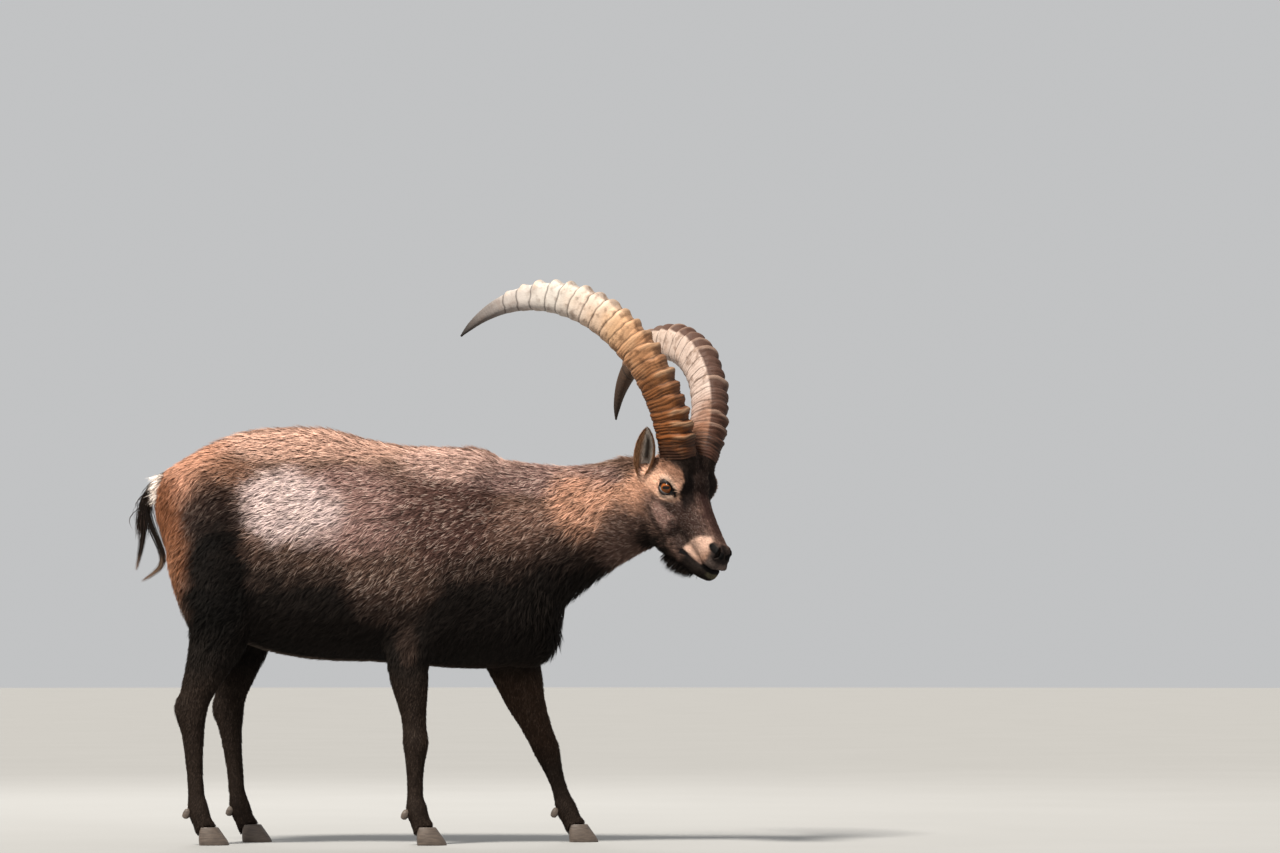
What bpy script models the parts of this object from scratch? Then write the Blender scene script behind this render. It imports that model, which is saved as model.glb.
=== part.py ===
"""An adult male alpine ibex at life size, stopped in mid-step with its head turned to its right.

Metres, +X forwards, +Y to the animal's left, +Z up, standing on z = 0.
The flesh is modelled whole, as lofted trunk, neck, head and legs merged into one surface, and is then parted
by thin plane cuts. Eyes, horns, ears, hooves, beard and tail are pieces of their own, set on that surface.
"""

import math

import bmesh
import bpy
import numpy as np
from mathutils import Matrix, Quaternion, Vector

# Driving sizes of the whole animal
GAP = 0.0003
HORN_LENGTH = 0.740
HORN_DEPTH = 0.084
HORN_WIDTH = 0.060
EYE_RADIUS = 0.0180
EAR_LENGTH = 0.118
EAR_WIDTH = 0.044
HOOF_LENGTH = 0.068
HOOF_WIDTH = 0.027
HOOF_HEIGHT = 0.040

# Head: the point midway between the eyes, and how the head is turned
HEAD_PLACE = Vector((0.5706, -0.120, 0.787))
HEAD_YAW = math.radians(47.2)
HEAD_PITCH = math.radians(47.2)
HEAD_ROLL = math.radians(7.8)

# Leg cuts: side, height under the belly, height at the knee or hock, and the reach in x that holds the leg
LEG_CUTS = {
    "foreleg_right": (-1, 0.388, 0.240, -0.130, 0.070),
    "foreleg_left": (1, 0.374, 0.218, 0.110, 0.410),
    "hindleg_right": (-1, 0.446, 0.304, -0.590, -0.396),
    "hindleg_left": (1, 0.430, 0.304, -0.530, -0.340),
}
LEG_REACH_Y = (0.045, 0.200)

# Surface detail
BODY_VOXEL = 0.0070
VOXEL = 0.0035
HEAD_MESH = 11300
BODY_MESH = 3500
LEG_MESH = 4800

# Trunk stations: x, height of the back, height of the belly, half width
TRUNK = (
    (-0.618, 0.812, 0.738, 0.030),
    (-0.604, 0.832, 0.690, 0.066),
    (-0.575, 0.852, 0.620, 0.098),
    (-0.535, 0.876, 0.556, 0.118),
    (-0.484, 0.905, 0.496, 0.130),
    (-0.405, 0.930, 0.446, 0.140),
    (-0.315, 0.938, 0.420, 0.154),
    (-0.225, 0.934, 0.410, 0.168),
    (-0.135, 0.909, 0.408, 0.174),
    (-0.045, 0.895, 0.402, 0.171),
    (0.045, 0.893, 0.394, 0.158),
    (0.124, 0.889, 0.392, 0.142),
    (0.180, 0.856, 0.398, 0.128),
    (0.232, 0.830, 0.410, 0.110),
    (0.275, 0.780, 0.450, 0.084),
    (0.306, 0.700, 0.510, 0.042),
)

# Neck stations: x, y, z of the middle, half depth, half width
NECK = (
    (0.150, 0.000, 0.660, 0.190, 0.118),
    (0.215, 0.000, 0.683, 0.184, 0.114),
    (0.262, -0.004, 0.695, 0.168, 0.104),
    (0.354, -0.022, 0.724, 0.133, 0.086),
    (0.432, -0.042, 0.753, 0.113, 0.076),
    (0.484, -0.058, 0.772, 0.108, 0.070),
    (0.520, -0.070, 0.788, 0.088, 0.060),
)

# Legs, from the top down: x, height, half depth fore and aft, half width
FORELEG_STANDING = (
    (0.075, 0.690, 0.070, 0.040, 0.080),
    (0.050, 0.600, 0.092, 0.050, 0.092),
    (0.010, 0.530, 0.088, 0.052, 0.098),
    (-0.033, 0.465, 0.068, 0.047, 0.099),
    (-0.044, 0.405, 0.050, 0.040, 0.099),
    (-0.039, 0.350, 0.041, 0.034, 0.099),
    (-0.033, 0.300, 0.031, 0.028, 0.099),
    (-0.030, 0.262, 0.0280, 0.026, 0.099),
    (-0.027, 0.228, 0.0305, 0.029, 0.099),
    (-0.028, 0.192, 0.0240, 0.024, 0.099),
    (-0.029, 0.140, 0.0195, 0.0185, 0.099),
    (-0.028, 0.103, 0.0205, 0.0190, 0.099),
    (-0.025, 0.078, 0.0265, 0.0235, 0.099),
    (-0.016, 0.050, 0.0225, 0.0225, 0.099),
    (-0.006, 0.028, 0.0290, 0.0265, 0.099),
)
FORELEG_REACHING = (
    (0.110, 0.690, 0.070, 0.040, 0.078),
    (0.145, 0.600, 0.088, 0.050, 0.088),
    (0.155, 0.520, 0.084, 0.050, 0.094),
    (0.172, 0.450, 0.072, 0.046, 0.095),
    (0.196, 0.376, 0.057, 0.040, 0.096),
    (0.212, 0.324, 0.047, 0.034, 0.097),
    (0.230, 0.280, 0.0375, 0.029, 0.098),
    (0.248, 0.238, 0.0320, 0.027, 0.099),
    (0.262, 0.206, 0.0310, 0.029, 0.100),
    (0.273, 0.172, 0.0240, 0.024, 0.101),
    (0.286, 0.134, 0.0195, 0.0185, 0.101),
    (0.297, 0.100, 0.0205, 0.0190, 0.102),
    (0.305, 0.076, 0.0265, 0.0235, 0.102),
    (0.318, 0.050, 0.0225, 0.0225, 0.102),
    (0.330, 0.028, 0.0290, 0.0265, 0.102),
)
HINDLEG = (
    (-0.460, 0.800, 0.080, 0.040, 0.062),
    (-0.480, 0.710, 0.102, 0.060, 0.084),
    (-0.482, 0.640, 0.104, 0.063, 0.098),
    (-0.468, 0.560, 0.095, 0.058, 0.108),
    (-0.462, 0.500, 0.082, 0.050, 0.110),
    (-0.470, 0.455, 0.068, 0.042, 0.108),
    (-0.487, 0.410, 0.054, 0.035, 0.105),
    (-0.504, 0.368, 0.044, 0.030, 0.102),
    (-0.519, 0.328, 0.0365, 0.026, 0.100),
    (-0.5270, 0.292, 0.0355, 0.026, 0.098),
    (-0.5240, 0.250, 0.0270, 0.023, 0.096),
    (-0.5200, 0.175, 0.0205, 0.0185, 0.095),
    (-0.5160, 0.112, 0.0200, 0.0185, 0.095),
    (-0.5120, 0.080, 0.0260, 0.0225, 0.095),
    (-0.5020, 0.050, 0.0225, 0.0220, 0.095),
    (-0.4910, 0.028, 0.0285, 0.0260, 0.095),
)
# How far the left hind leg stands ahead of the right one: height, distance
HINDLEG_ADVANCE = ((0.00, 0.082), (0.30, 0.068), (0.50, 0.034), (0.70, 0.012), (0.80, 0.0))

# Head, in its own axes from the middle between the eyes: forwards, top, bottom, half width, squareness
SKULL = (
    (-0.105, 0.014, -0.060, 0.036, 2.1),
    (-0.085, 0.044, -0.074, 0.054, 2.2),
    (-0.055, 0.062, -0.075, 0.062, 2.4),
    (-0.025, 0.067, -0.070, 0.062, 2.7),
    (0.000, 0.057, -0.066, 0.059, 2.9),
    (0.020, 0.050, -0.064, 0.056, 2.8),
    (0.040, 0.038, -0.062, 0.050, 2.6),
    (0.060, 0.031, -0.060, 0.044, 2.5),
    (0.080, 0.0275, -0.058, 0.039, 2.4),
    (0.100, 0.0245, -0.056, 0.0355, 2.3),
    (0.125, 0.0200, -0.053, 0.0325, 2.3),
    (0.150, 0.0155, -0.051, 0.0315, 2.3),
    (0.168, 0.0120, -0.049, 0.0320, 2.3),
    (0.182, 0.0070, -0.046, 0.0300, 2.3),
    (0.194, -0.0010, -0.043, 0.0265, 2.2),
    (0.204, -0.0120, -0.040, 0.0210, 2.1),
    (0.211, -0.0210, -0.036, 0.0120, 2.0),
)
JAW = (
    (-0.060, -0.034, -0.114, 0.040, 2.2),
    (-0.020, -0.030, -0.130, 0.048, 2.2),
    (0.020, -0.030, -0.136, 0.047, 2.2),
    (0.050, -0.034, -0.134, 0.041, 2.2),
    (0.080, -0.038, -0.127, 0.034, 2.2),
    (0.110, -0.043, -0.116, 0.029, 2.2),
    (0.145, -0.047, -0.100, 0.0260, 2.2),
    (0.172, -0.046, -0.090, 0.0250, 2.2),
    (0.190, -0.041, -0.082, 0.0230, 2.2),
    (0.203, -0.039, -0.075, 0.0180, 2.1),
    (0.211, -0.042, -0.064, 0.0105, 2.0),
)

COAT = (0.205, 0.125, 0.080)
MATERIALS = {
    "coat": (COAT, 0.85),
    "dark_coat": ((0.060, 0.040, 0.030), 0.85),
    "horn": ((0.420, 0.290, 0.160), 0.60),
    "hoof": ((0.050, 0.042, 0.036), 0.55),
    "eye": ((0.260, 0.090, 0.020), 0.08),
}


def clear_scene():
    for obj in list(bpy.data.objects):
        bpy.data.objects.remove(obj, do_unlink=True)


def material(name):
    """One plain Principled material for each finish."""
    found = bpy.data.materials.get(name)
    if found:
        return found
    colour, roughness = MATERIALS[name]
    made = bpy.data.materials.new(name)
    made.use_nodes = True
    shader = made.node_tree.nodes["Principled BSDF"]
    shader.inputs["Base Color"].default_value = (*colour, 1.0)
    shader.inputs["Roughness"].default_value = roughness
    shader.inputs["Metallic"].default_value = 0.0
    return made


def new_object(name, verts, faces):
    mesh = bpy.data.meshes.new(name)
    mesh.from_pydata([tuple(v) for v in verts], [], faces)
    mesh.validate()
    obj = bpy.data.objects.new(name, mesh)
    bpy.context.scene.collection.objects.link(obj)
    outward(obj)
    return obj


def outward(obj):
    """Turns every face of a closed mesh to point out."""
    work = bmesh.new()
    work.from_mesh(obj.data)
    bmesh.ops.recalc_face_normals(work, faces=work.faces)
    if work.calc_volume(signed=True) < 0:
        bmesh.ops.reverse_faces(work, faces=work.faces)
    work.to_mesh(obj.data)
    work.free()


def smooth_rows(rows, count):
    """Rows of numbers resampled on a Catmull-Rom curve through them, evenly by distance."""
    rows = np.array(rows, float)
    padded = np.vstack([2 * rows[0] - rows[1], rows, 2 * rows[-1] - rows[-2]])
    dense = []
    for i in range(1, len(padded) - 2):
        a, b, c, d = padded[i - 1 : i + 3]
        for t in np.linspace(0, 1, 12, endpoint=False):
            dense.append(0.5 * (2 * b + (c - a) * t + (2 * a - 5 * b + 4 * c - d) * t**2
                                + (3 * b - a - 3 * c + d) * t**3))
    dense = np.array(dense + [rows[-1]])
    along = np.r_[0, np.cumsum(np.linalg.norm(np.diff(dense[:, :3], axis=0), axis=1))]
    wanted = np.linspace(0, along[-1], count)
    return np.stack([np.interp(wanted, along, dense[:, k]) for k in range(rows.shape[1])], axis=1)


def oval(centre, side, up, half_side, half_up, half_down, points=32, power=2.2, power_down=None):
    """A ring of points, wider or squarer than an ellipse as the power grows past 2."""
    ring = []
    for i in range(points):
        turn = 2 * math.pi * i / points
        c, s = math.cos(turn), math.sin(turn)
        square = power if s > 0 else power_down or power
        across = math.copysign(abs(c) ** (2 / square), c) * half_side
        height = math.copysign(abs(s) ** (2 / square), s) * (half_up if s > 0 else half_down)
        ring.append(Vector(centre) + Vector(side) * across + Vector(up) * height)
    return ring


def loft(name, rings, strips=False):
    """A closed tube through the rings. Each end closes on a middle point or, for a thin bent ring, in strips."""
    count = len(rings[0])
    verts = [v for ring in rings for v in ring]
    faces = []
    for r in range(len(rings) - 1):
        for i in range(count):
            j = (i + 1) % count
            faces.append((r * count + i, r * count + j, (r + 1) * count + j, (r + 1) * count + i))
    for ring_start, ring in ((0, rings[0]), ((len(rings) - 1) * count, rings[-1])):
        if strips:
            faces += [(ring_start + i, ring_start + i + 1, ring_start + count - 2 - i, ring_start + count - 1 - i)
                      for i in range(count // 2 - 1)]
        else:
            verts.append(sum(ring, Vector()) / count)
            middle = len(verts) - 1
            faces += [(ring_start + i, ring_start + (i + 1) % count, middle) for i in range(count)]
    return new_object(name, verts, faces)


def ellipsoid(name, centre, radii, axes=Matrix.Identity(3), segments=32):
    work = bmesh.new()
    bmesh.ops.create_uvsphere(work, u_segments=segments, v_segments=segments // 2, radius=1.0)
    turn = axes.to_4x4()
    matrix = Matrix.Translation(centre) @ turn @ Matrix.Diagonal((*radii, 1.0))
    work.transform(matrix)
    mesh = bpy.data.meshes.new(name)
    work.to_mesh(mesh)
    work.free()
    obj = bpy.data.objects.new(name, mesh)
    bpy.context.scene.collection.objects.link(obj)
    outward(obj)
    return obj


def box(name, face_centre, direction, reach, half_size, side=Vector((0, 1, 0))):
    """A box that starts at a face through face_centre and reaches along direction."""
    ahead = Vector(direction).normalized()
    across = (Vector(side) - ahead * ahead.dot(Vector(side))).normalized()
    up = ahead.cross(across)
    verts = []
    for far in (0, reach):
        for u, v in ((-1, -1), (1, -1), (1, 1), (-1, 1)):
            verts.append(Vector(face_centre) + ahead * far + across * u * half_size[0] + up * v * half_size[1])
    faces = [(0, 1, 2, 3), (4, 5, 6, 7), (0, 1, 5, 4), (1, 2, 6, 5), (2, 3, 7, 6), (3, 0, 4, 7)]
    return new_object(name, verts, faces)


def apply_modifiers(obj):
    graph = bpy.context.evaluated_depsgraph_get()
    graph.update()
    made = bpy.data.meshes.new_from_object(obj.evaluated_get(graph), depsgraph=graph)
    obj.modifiers.clear()
    obj.data = made
    return obj


def boolean(obj, other, operation, keep_other=False, solver="EXACT"):
    change = obj.modifiers.new(operation, "BOOLEAN")
    change.operation = operation
    change.solver = solver
    change.object = other
    apply_modifiers(obj)
    if not keep_other:
        bpy.data.objects.remove(other, do_unlink=True)
    return obj


def unite(name, objects, solver="EXACT"):
    """One closed body from overlapping ones, by a Boolean union on a collection."""
    base = objects[0]
    if len(objects) > 1:
        group = bpy.data.collections.new(name + "_pieces")
        bpy.context.scene.collection.children.link(group)
        for obj in objects[1:]:
            group.objects.link(obj)
        change = base.modifiers.new("UNION", "BOOLEAN")
        change.operation = "UNION"
        change.solver = solver
        change.operand_type = "COLLECTION"
        change.collection = group
        apply_modifiers(base)
        for obj in objects[1:]:
            bpy.data.objects.remove(obj, do_unlink=True)
        bpy.data.collections.remove(group)
    base.name = name
    base.data.name = name
    return base


def copy_of(obj, name):
    made = bpy.data.objects.new(name, obj.data.copy())
    bpy.context.scene.collection.objects.link(made)
    return made


def swollen(obj, name, by):
    """A copy whose surface stands off the original by a small even gap."""
    made = copy_of(obj, name)
    normals = [v.normal.copy() for v in made.data.vertices]
    for vert, normal in zip(made.data.vertices, normals):
        vert.co += normal * by
    return made


def largest_body(obj):
    """Keeps only the largest closed surface of the mesh."""
    work = bmesh.new()
    work.from_mesh(obj.data)
    bmesh.ops.remove_doubles(work, verts=work.verts, dist=2e-6)
    bmesh.ops.triangulate(work, faces=work.faces)
    seen, bodies = set(), []
    for face in work.faces:
        if face in seen:
            continue
        stack, body = [face], []
        seen.add(face)
        while stack:
            one = stack.pop()
            body.append(one)
            for edge in one.edges:
                for other in edge.link_faces:
                    if other not in seen:
                        seen.add(other)
                        stack.append(other)
        bodies.append(body)

    def volume(body):
        return abs(sum(f.verts[0].co.dot(f.verts[1].co.cross(f.verts[2].co)) for f in body)) / 6

    bodies.sort(key=volume, reverse=True)
    drop = [f for body in bodies[1:] for f in body]
    if drop:
        bmesh.ops.delete(work, geom=drop, context="FACES")
    bmesh.ops.recalc_face_normals(work, faces=work.faces)
    work.to_mesh(obj.data)
    work.free()
    return obj


def head_axes():
    """Columns: forwards along the face, to the animal's left, and up out of the forehead."""
    ahead = Vector((math.cos(HEAD_PITCH) * math.cos(HEAD_YAW), -math.cos(HEAD_PITCH) * math.sin(HEAD_YAW),
                    -math.sin(HEAD_PITCH)))
    level_left = Vector((math.sin(HEAD_YAW), math.cos(HEAD_YAW), 0.0))
    level_up = ahead.cross(level_left)
    left = level_left * math.cos(HEAD_ROLL) - level_up * math.sin(HEAD_ROLL)
    up = ahead.cross(left)
    return Matrix((ahead, left, up)).transposed()


HEAD_AXES = head_axes()


def on_head(a, b, c):
    """A point given in the head's own axes."""
    return HEAD_PLACE + HEAD_AXES @ Vector((a, b, c))


def head_way(a, b, c):
    """A direction given in the head's own axes."""
    return (HEAD_AXES @ Vector((a, b, c))).normalized()


def trunk():
    """The barrel: widest a little below its middle, narrower along the spine and flatter under the belly."""
    rows = smooth_rows(TRUNK, 48)
    rings = []
    for x, back, belly, half in rows:
        middle = belly + 0.47 * (back - belly)
        rings.append(oval((x, 0, middle), (0, 1, 0), (0, 0, 1), half, back - middle, middle - belly, 40, 2.02, 2.35))
    return loft("trunk", rings)


def neck():
    rows = smooth_rows(NECK, 26)
    rings = []
    for i, (x, y, z, depth, half) in enumerate(rows):
        before, after = rows[max(i - 1, 0)], rows[min(i + 1, len(rows) - 1)]
        ahead = Vector(after[:3] - before[:3]).normalized()
        side = Vector((0, 0, 1)).cross(ahead).normalized()
        up = ahead.cross(side)
        rings.append(oval((x, y, z), side, up, half, depth, depth, 36, 2.1))
    return loft("neck_core", rings)


def leg(name, rows, side, advance=((0, 0), (1, 0))):
    """A leg from its stations. side is -1 on the animal's right and 1 on its left."""
    heights, distances = zip(*advance)
    rows = smooth_rows([(x + np.interp(z, heights, distances), side * y, z, depth, half)
                        for x, z, depth, half, y in rows], 54)
    rings = []
    for i, (x, y, z, depth, half) in enumerate(rows):
        before, after = rows[max(i - 1, 0)], rows[min(i + 1, len(rows) - 1)]
        down = Vector(after[:3] - before[:3]).normalized()
        across = Vector((0, 1, 0))
        across = (across - down * down.dot(across)).normalized()
        fore = across.cross(down)
        rings.append(oval((x, y, z), across, fore, half, depth, depth, 28, 2.1))
    return loft(name, rings)


def head_loft(name, rows):
    rings = []
    for a, top, bottom, half, power in smooth_rows(rows, 40):
        middle, high = (top + bottom) / 2, (top - bottom) / 2
        rings.append(oval(on_head(a, 0, middle), head_way(0, 1, 0), head_way(0, 0, 1), half, high, high, 36, power))
    return loft(name, rings)


def head_swellings():
    """Brow, cheek, lip and nose forms, the same on both sides of the head."""
    made = []
    for side in (-1, 1):
        for name, centre, radii in (
            ("orbit", (-0.004, 0.047, 0.014), (0.040, 0.0240, 0.040)),
            ("brow", (-0.006, 0.046, 0.036), (0.036, 0.0255, 0.024)),
            ("cheek", (0.012, 0.035, -0.056), (0.064, 0.0180, 0.050)),
            ("nostril_wing", (0.183, 0.0155, -0.004), (0.019, 0.0145, 0.0155)),
            ("upper_lip", (0.178, 0.0170, -0.031), (0.034, 0.0165, 0.015)),
            ("lower_lip", (0.182, 0.0125, -0.060), (0.026, 0.0120, 0.012)),
            ("ear_root", (-0.076, 0.052, -0.028), (0.025, 0.019, 0.025)),
        ):
            a, b, c = centre
            made.append(ellipsoid(f"{name}_{side}", on_head(a, side * b, c), radii, HEAD_AXES, 24))
        made.append(horn_seat(side))
    made.append(ellipsoid("chin", on_head(0.194, 0, -0.065), (0.0170, 0.0180, 0.0130), HEAD_AXES, 24))
    made.append(ellipsoid("forehead", on_head(-0.012, 0, 0.031), (0.056, 0.050, 0.034), HEAD_AXES, 24))
    made.append(ellipsoid("poll", on_head(-0.054, 0, 0.044), (0.040, 0.032, 0.036), HEAD_AXES, 24))
    return made


def horn_seat(side):
    """The stump under the skin that a horn stands on, flared into the forehead."""
    root, way, axes = horn_root(side), horn_way(0.0, side), horn_axes(0.0, side)
    rings = []
    for step, spread in ((0.008, 0.98), (-0.004, 1.03), (-0.020, 1.10), (-0.040, 1.12), (-0.070, 0.95)):
        rings.append(oval(root + way * step, axes.col[1], axes.col[0], HORN_WIDTH / 2 * spread,
                          HORN_DEPTH / 2 * spread, HORN_DEPTH / 2 * spread, 24, 2.3))
    return loft(f"horn_seat_{side}", rings)


def body_swellings():
    """Muscle over the shoulder blades, upper arms, haunches and hips."""
    made = []
    for name, centre, radii, tilt in (
        ("blade_right", (0.070, -0.078, 0.715), (0.098, 0.058, 0.135), 14),
        ("blade_left", (0.100, 0.076, 0.710), (0.098, 0.058, 0.135), 22),
        ("arm_right", (0.050, -0.106, 0.590), (0.100, 0.052, 0.090), -20),
        ("arm_left", (0.130, 0.104, 0.585), (0.096, 0.050, 0.088), -6),
        ("haunch_right", (-0.455, -0.078, 0.740), (0.125, 0.062, 0.135), 20),
        ("haunch_left", (-0.447, 0.078, 0.740), (0.125, 0.062, 0.135), 20),
        ("brisket", (0.210, 0.0, 0.478), (0.092, 0.078, 0.084), 20),
    ):
        turn = Matrix.Rotation(math.radians(tilt), 3, "Y")
        made.append(ellipsoid(name, Vector(centre), radii, turn, 28))
    for side in (-1, 1):
        x, z, _, _, y = HINDLEG[9]
        if side > 0:
            x += float(np.interp(z, *zip(*HINDLEG_ADVANCE)))
        made.append(ellipsoid(f"heel_{side}", Vector((x - 0.026, side * y, z + 0.012)), (0.015, 0.015, 0.032),
                              segments=20))
    return made


def evened(obj, voxel, rounds, soften=None):
    """One even skin over everything in the object, relaxed all over or where soften(points) says."""
    even = obj.modifiers.new("even", "REMESH")
    even.mode = "VOXEL"
    even.voxel_size = voxel
    apply_modifiers(obj)
    relax = obj.modifiers.new("relax", "SMOOTH")
    relax.factor = 0.5
    relax.iterations = rounds
    if soften:
        places = np.empty(len(obj.data.vertices) * 3, np.float32)
        obj.data.vertices.foreach_get("co", places)
        weights = np.round(soften(places.reshape(-1, 3)), 1)
        group = obj.vertex_groups.new(name="soft")
        for level in np.unique(weights):
            group.add(np.nonzero(weights == level)[0].tolist(), float(level), "REPLACE")
        relax.vertex_group = "soft"
    apply_modifiers(obj)
    obj.vertex_groups.clear()
    return obj


def flesh():
    """Trunk, neck and legs run into each other, then the head is added and the whole is evened again."""
    body = merged("body", [
        trunk(),
        neck(),
        leg("foreleg_right", FORELEG_STANDING, -1),
        leg("foreleg_left", FORELEG_REACHING, 1),
        leg("hindleg_right", HINDLEG, -1),
        leg("hindleg_left", HINDLEG, 1, HINDLEG_ADVANCE),
        *body_swellings(),
    ])
    evened(body, BODY_VOXEL, 26, lambda places: np.clip((places[:, 2] - 0.36) / 0.12, 0.0, 1.0))
    head = [head_loft("skull", SKULL), head_loft("jaw", JAW), *head_swellings()]
    return evened(merged("flesh", [body, *head]), VOXEL, 13)


def merged(name, objects):
    """One mesh object that holds all the given ones, still overlapping."""
    work = bmesh.new()
    for obj in objects:
        work.from_mesh(obj.data)
        bpy.data.objects.remove(obj, do_unlink=True)
    mesh = bpy.data.meshes.new(name)
    work.to_mesh(mesh)
    work.free()
    obj = bpy.data.objects.new(name, mesh)
    bpy.context.scene.collection.objects.link(obj)
    return obj


def thinned(whole, name, triangles):
    """A copy of the whole surface with about as many triangles as asked for."""
    made = copy_of(whole, name)
    fewer = made.modifiers.new("fewer", "DECIMATE")
    fewer.ratio = triangles / sum(len(p.vertices) - 2 for p in made.data.polygons)
    fewer.use_collapse_triangulate = True
    return apply_modifiers(made)


# Angle of the horn's middle line from the head's forward axis, in the plane that it curls in, and how far it
# leans out. Both are polynomials in the share of the length. The left horn is curled a little tighter.
HORN_CURL = (2.354, 2.187, 0.2625, 0.318)
HORN_LEAN = (0.351, -0.110, 0.040)
HORN_UNLIKE = (0.273, -0.070)
HORN_SEAT = (-0.060, 0.038, 0.062)


def horn_root(side):
    """The middle of a horn's foot. The left one stands a little further out."""
    return on_head(HORN_SEAT[0], side * HORN_SEAT[1] + (0.003 if side > 0 else 0.0), HORN_SEAT[2])


def horn_angles(share, side):
    curl = sum(k * share**n for n, k in enumerate(HORN_CURL))
    curl += side * (HORN_UNLIKE[0] * share + HORN_UNLIKE[1] * share**2)
    lean = sum(k * share**n for n, k in enumerate(HORN_LEAN))
    return curl, lean


def horn_way(share, side):
    """The horn's direction, in the world, at a share of its length."""
    curl, lean = horn_angles(share, side)
    return head_way(math.cos(lean) * math.cos(curl), side * math.sin(lean), math.cos(lean) * math.sin(curl))


def horn_axes(share, side):
    """Columns: to the horn's front face, across it, and along it."""
    curl, lean = horn_angles(share, side)
    along = horn_way(share, side)
    front = head_way(math.sin(curl), 0.0, -math.cos(curl))
    front = (front - along * front.dot(along)).normalized()
    across = along.cross(front)
    return Matrix((front, across, along)).transposed()


def horn_line(side, count):
    """Points along the horn's middle, evenly spaced."""
    points = [horn_root(side)]
    for i in range(1, count):
        points.append(points[-1] + horn_way((i - 0.5) / (count - 1), side) * HORN_LENGTH / (count - 1))
    return points


def horn_taper(share):
    """Thickness along the horn as a share of its size at the base."""
    table = ((0.0, 1.02), (0.10, 1.0), (0.45, 0.97), (0.62, 0.86), (0.76, 0.64), (0.88, 0.40), (0.96, 0.20),
             (1.0, 0.05))
    return float(np.interp(share, *zip(*table)))


def knob_places():
    """Shares of the length at which the front carries a cross ridge, closer together near the head."""
    places, at = [], 0.043
    while at < 0.83:
        places.append(at)
        at += 0.035 + 0.020 * at
    return places


def horn(name, side):
    random = np.random.default_rng(7 if side < 0 else 11)
    knobs = [(at, 0.75 + 0.5 * random.random()) for at in knob_places()]
    stations = [0.0]
    for at, _ in knobs:
        stations += [at - 0.011, at - 0.001, at + 0.005]
    stations += [0.875, 0.905, 0.935, 0.96, 0.985, 1.0]
    line = horn_line(side, 201)
    rings = []
    around = 12
    for share in stations:
        spot = share * (len(line) - 1)
        low = min(int(spot), len(line) - 2)
        centre = line[low].lerp(line[low + 1], spot - low)
        front, across, _ = horn_axes(share, side).transposed()
        size = horn_taper(share)
        lift = 0.0
        for at, strength in knobs:
            near = (share - at) / (0.006 if share > at else 0.012)
            lift = max(lift, strength * math.exp(-near * near * 1.2))
        fade = min(1.0, size * 1.1) * (1.0 if share < 0.7 else max(0.3, 1 - (share - 0.7) * 4))
        ring = []
        for k in range(around):
            turn = 2 * math.pi * (k + 0.5) / around
            c, s = math.cos(turn), math.sin(turn)
            broad = 1.0 + 0.10 * max(0.0, c)
            depth = math.copysign(abs(c) ** 0.82, c) * HORN_DEPTH / 2 * size
            width = math.copysign(abs(s) ** 0.86, s) * HORN_WIDTH / 2 * size * broad
            face = max(0.0, c) ** 0.7
            push = lift * fade * (0.0085 * face + 0.0014)
            outward_way = (front * c + across * s).normalized()
            ring.append(centre + front * depth + across * width + outward_way * push)
        rings.append(ring)
    made = loft(name, rings)
    return made


def ear(name, side):
    """A leaf-shaped cup, rolled at its foot and opening forwards and out."""
    root = on_head(-0.077, side * 0.058, -0.032)
    along = head_way(-0.31, side * 0.42, 0.85)
    opening = head_way(0.66, side * 0.68, -0.10)
    opening = (opening - along * opening.dot(along)).normalized()
    across = along.cross(opening)
    shares = (0.0, 0.10, 0.20, 0.32, 0.45, 0.58, 0.70, 0.80, 0.89, 0.96, 1.0)
    widths = (0.50, 0.66, 0.84, 0.97, 1.0, 0.95, 0.82, 0.65, 0.44, 0.22, 0.06)
    points = 8
    rings = []
    for share, wide in zip(shares, widths):
        half = EAR_WIDTH / 2 * wide
        bend = math.radians(118 - 62 * min(1.0, share * 1.3))
        radius = half / math.sin(min(bend, math.pi / 2))
        thick = 0.0042 - 0.0016 * share
        thick = min(thick, radius * 0.5)
        centre = root + along * EAR_LENGTH * share - opening * 0.012 * math.sin(math.pi * share * 0.9)
        outer, inner = [], []
        for j in range(points):
            turn = bend * (2 * j / (points - 1) - 1)
            edge = 1 - 0.72 * abs(2 * j / (points - 1) - 1) ** 3
            way = across * math.sin(turn) - opening * math.cos(turn)
            middle = centre + way * radius + opening * radius * 0.5
            outer.append(middle + way * thick * edge / 2)
            inner.append(middle - way * thick * edge / 2)
        rings.append(outer + inner[::-1])
    return loft(name, rings, strips=True)


def lock(name, points, width, thick, flat, steps=5):
    """One flat tapered lock of hair along a smooth path through the points; flat is the way across it."""
    path = [Vector(row) for row in smooth_rows([tuple(p) for p in points], steps + 1)]
    rings = []
    for i, point in enumerate(path):
        share = i / steps
        heading = (path[min(i + 1, steps)] - path[max(i - 1, 0)]).normalized()
        across = (Vector(flat) - heading * heading.dot(Vector(flat))).normalized()
        normal = heading.cross(across)
        w = width / 2 * (0.08 + 0.92 * math.sin(math.pi * (0.30 + 0.70 * share)) ** 0.8) if share < 1 else width * 0.03
        t = thick / 2 * max(0.10, 1 - share)
        rings.append([point + across * w, point + normal * t, point - across * w, point - normal * t])
    return loft(name, rings)


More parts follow.
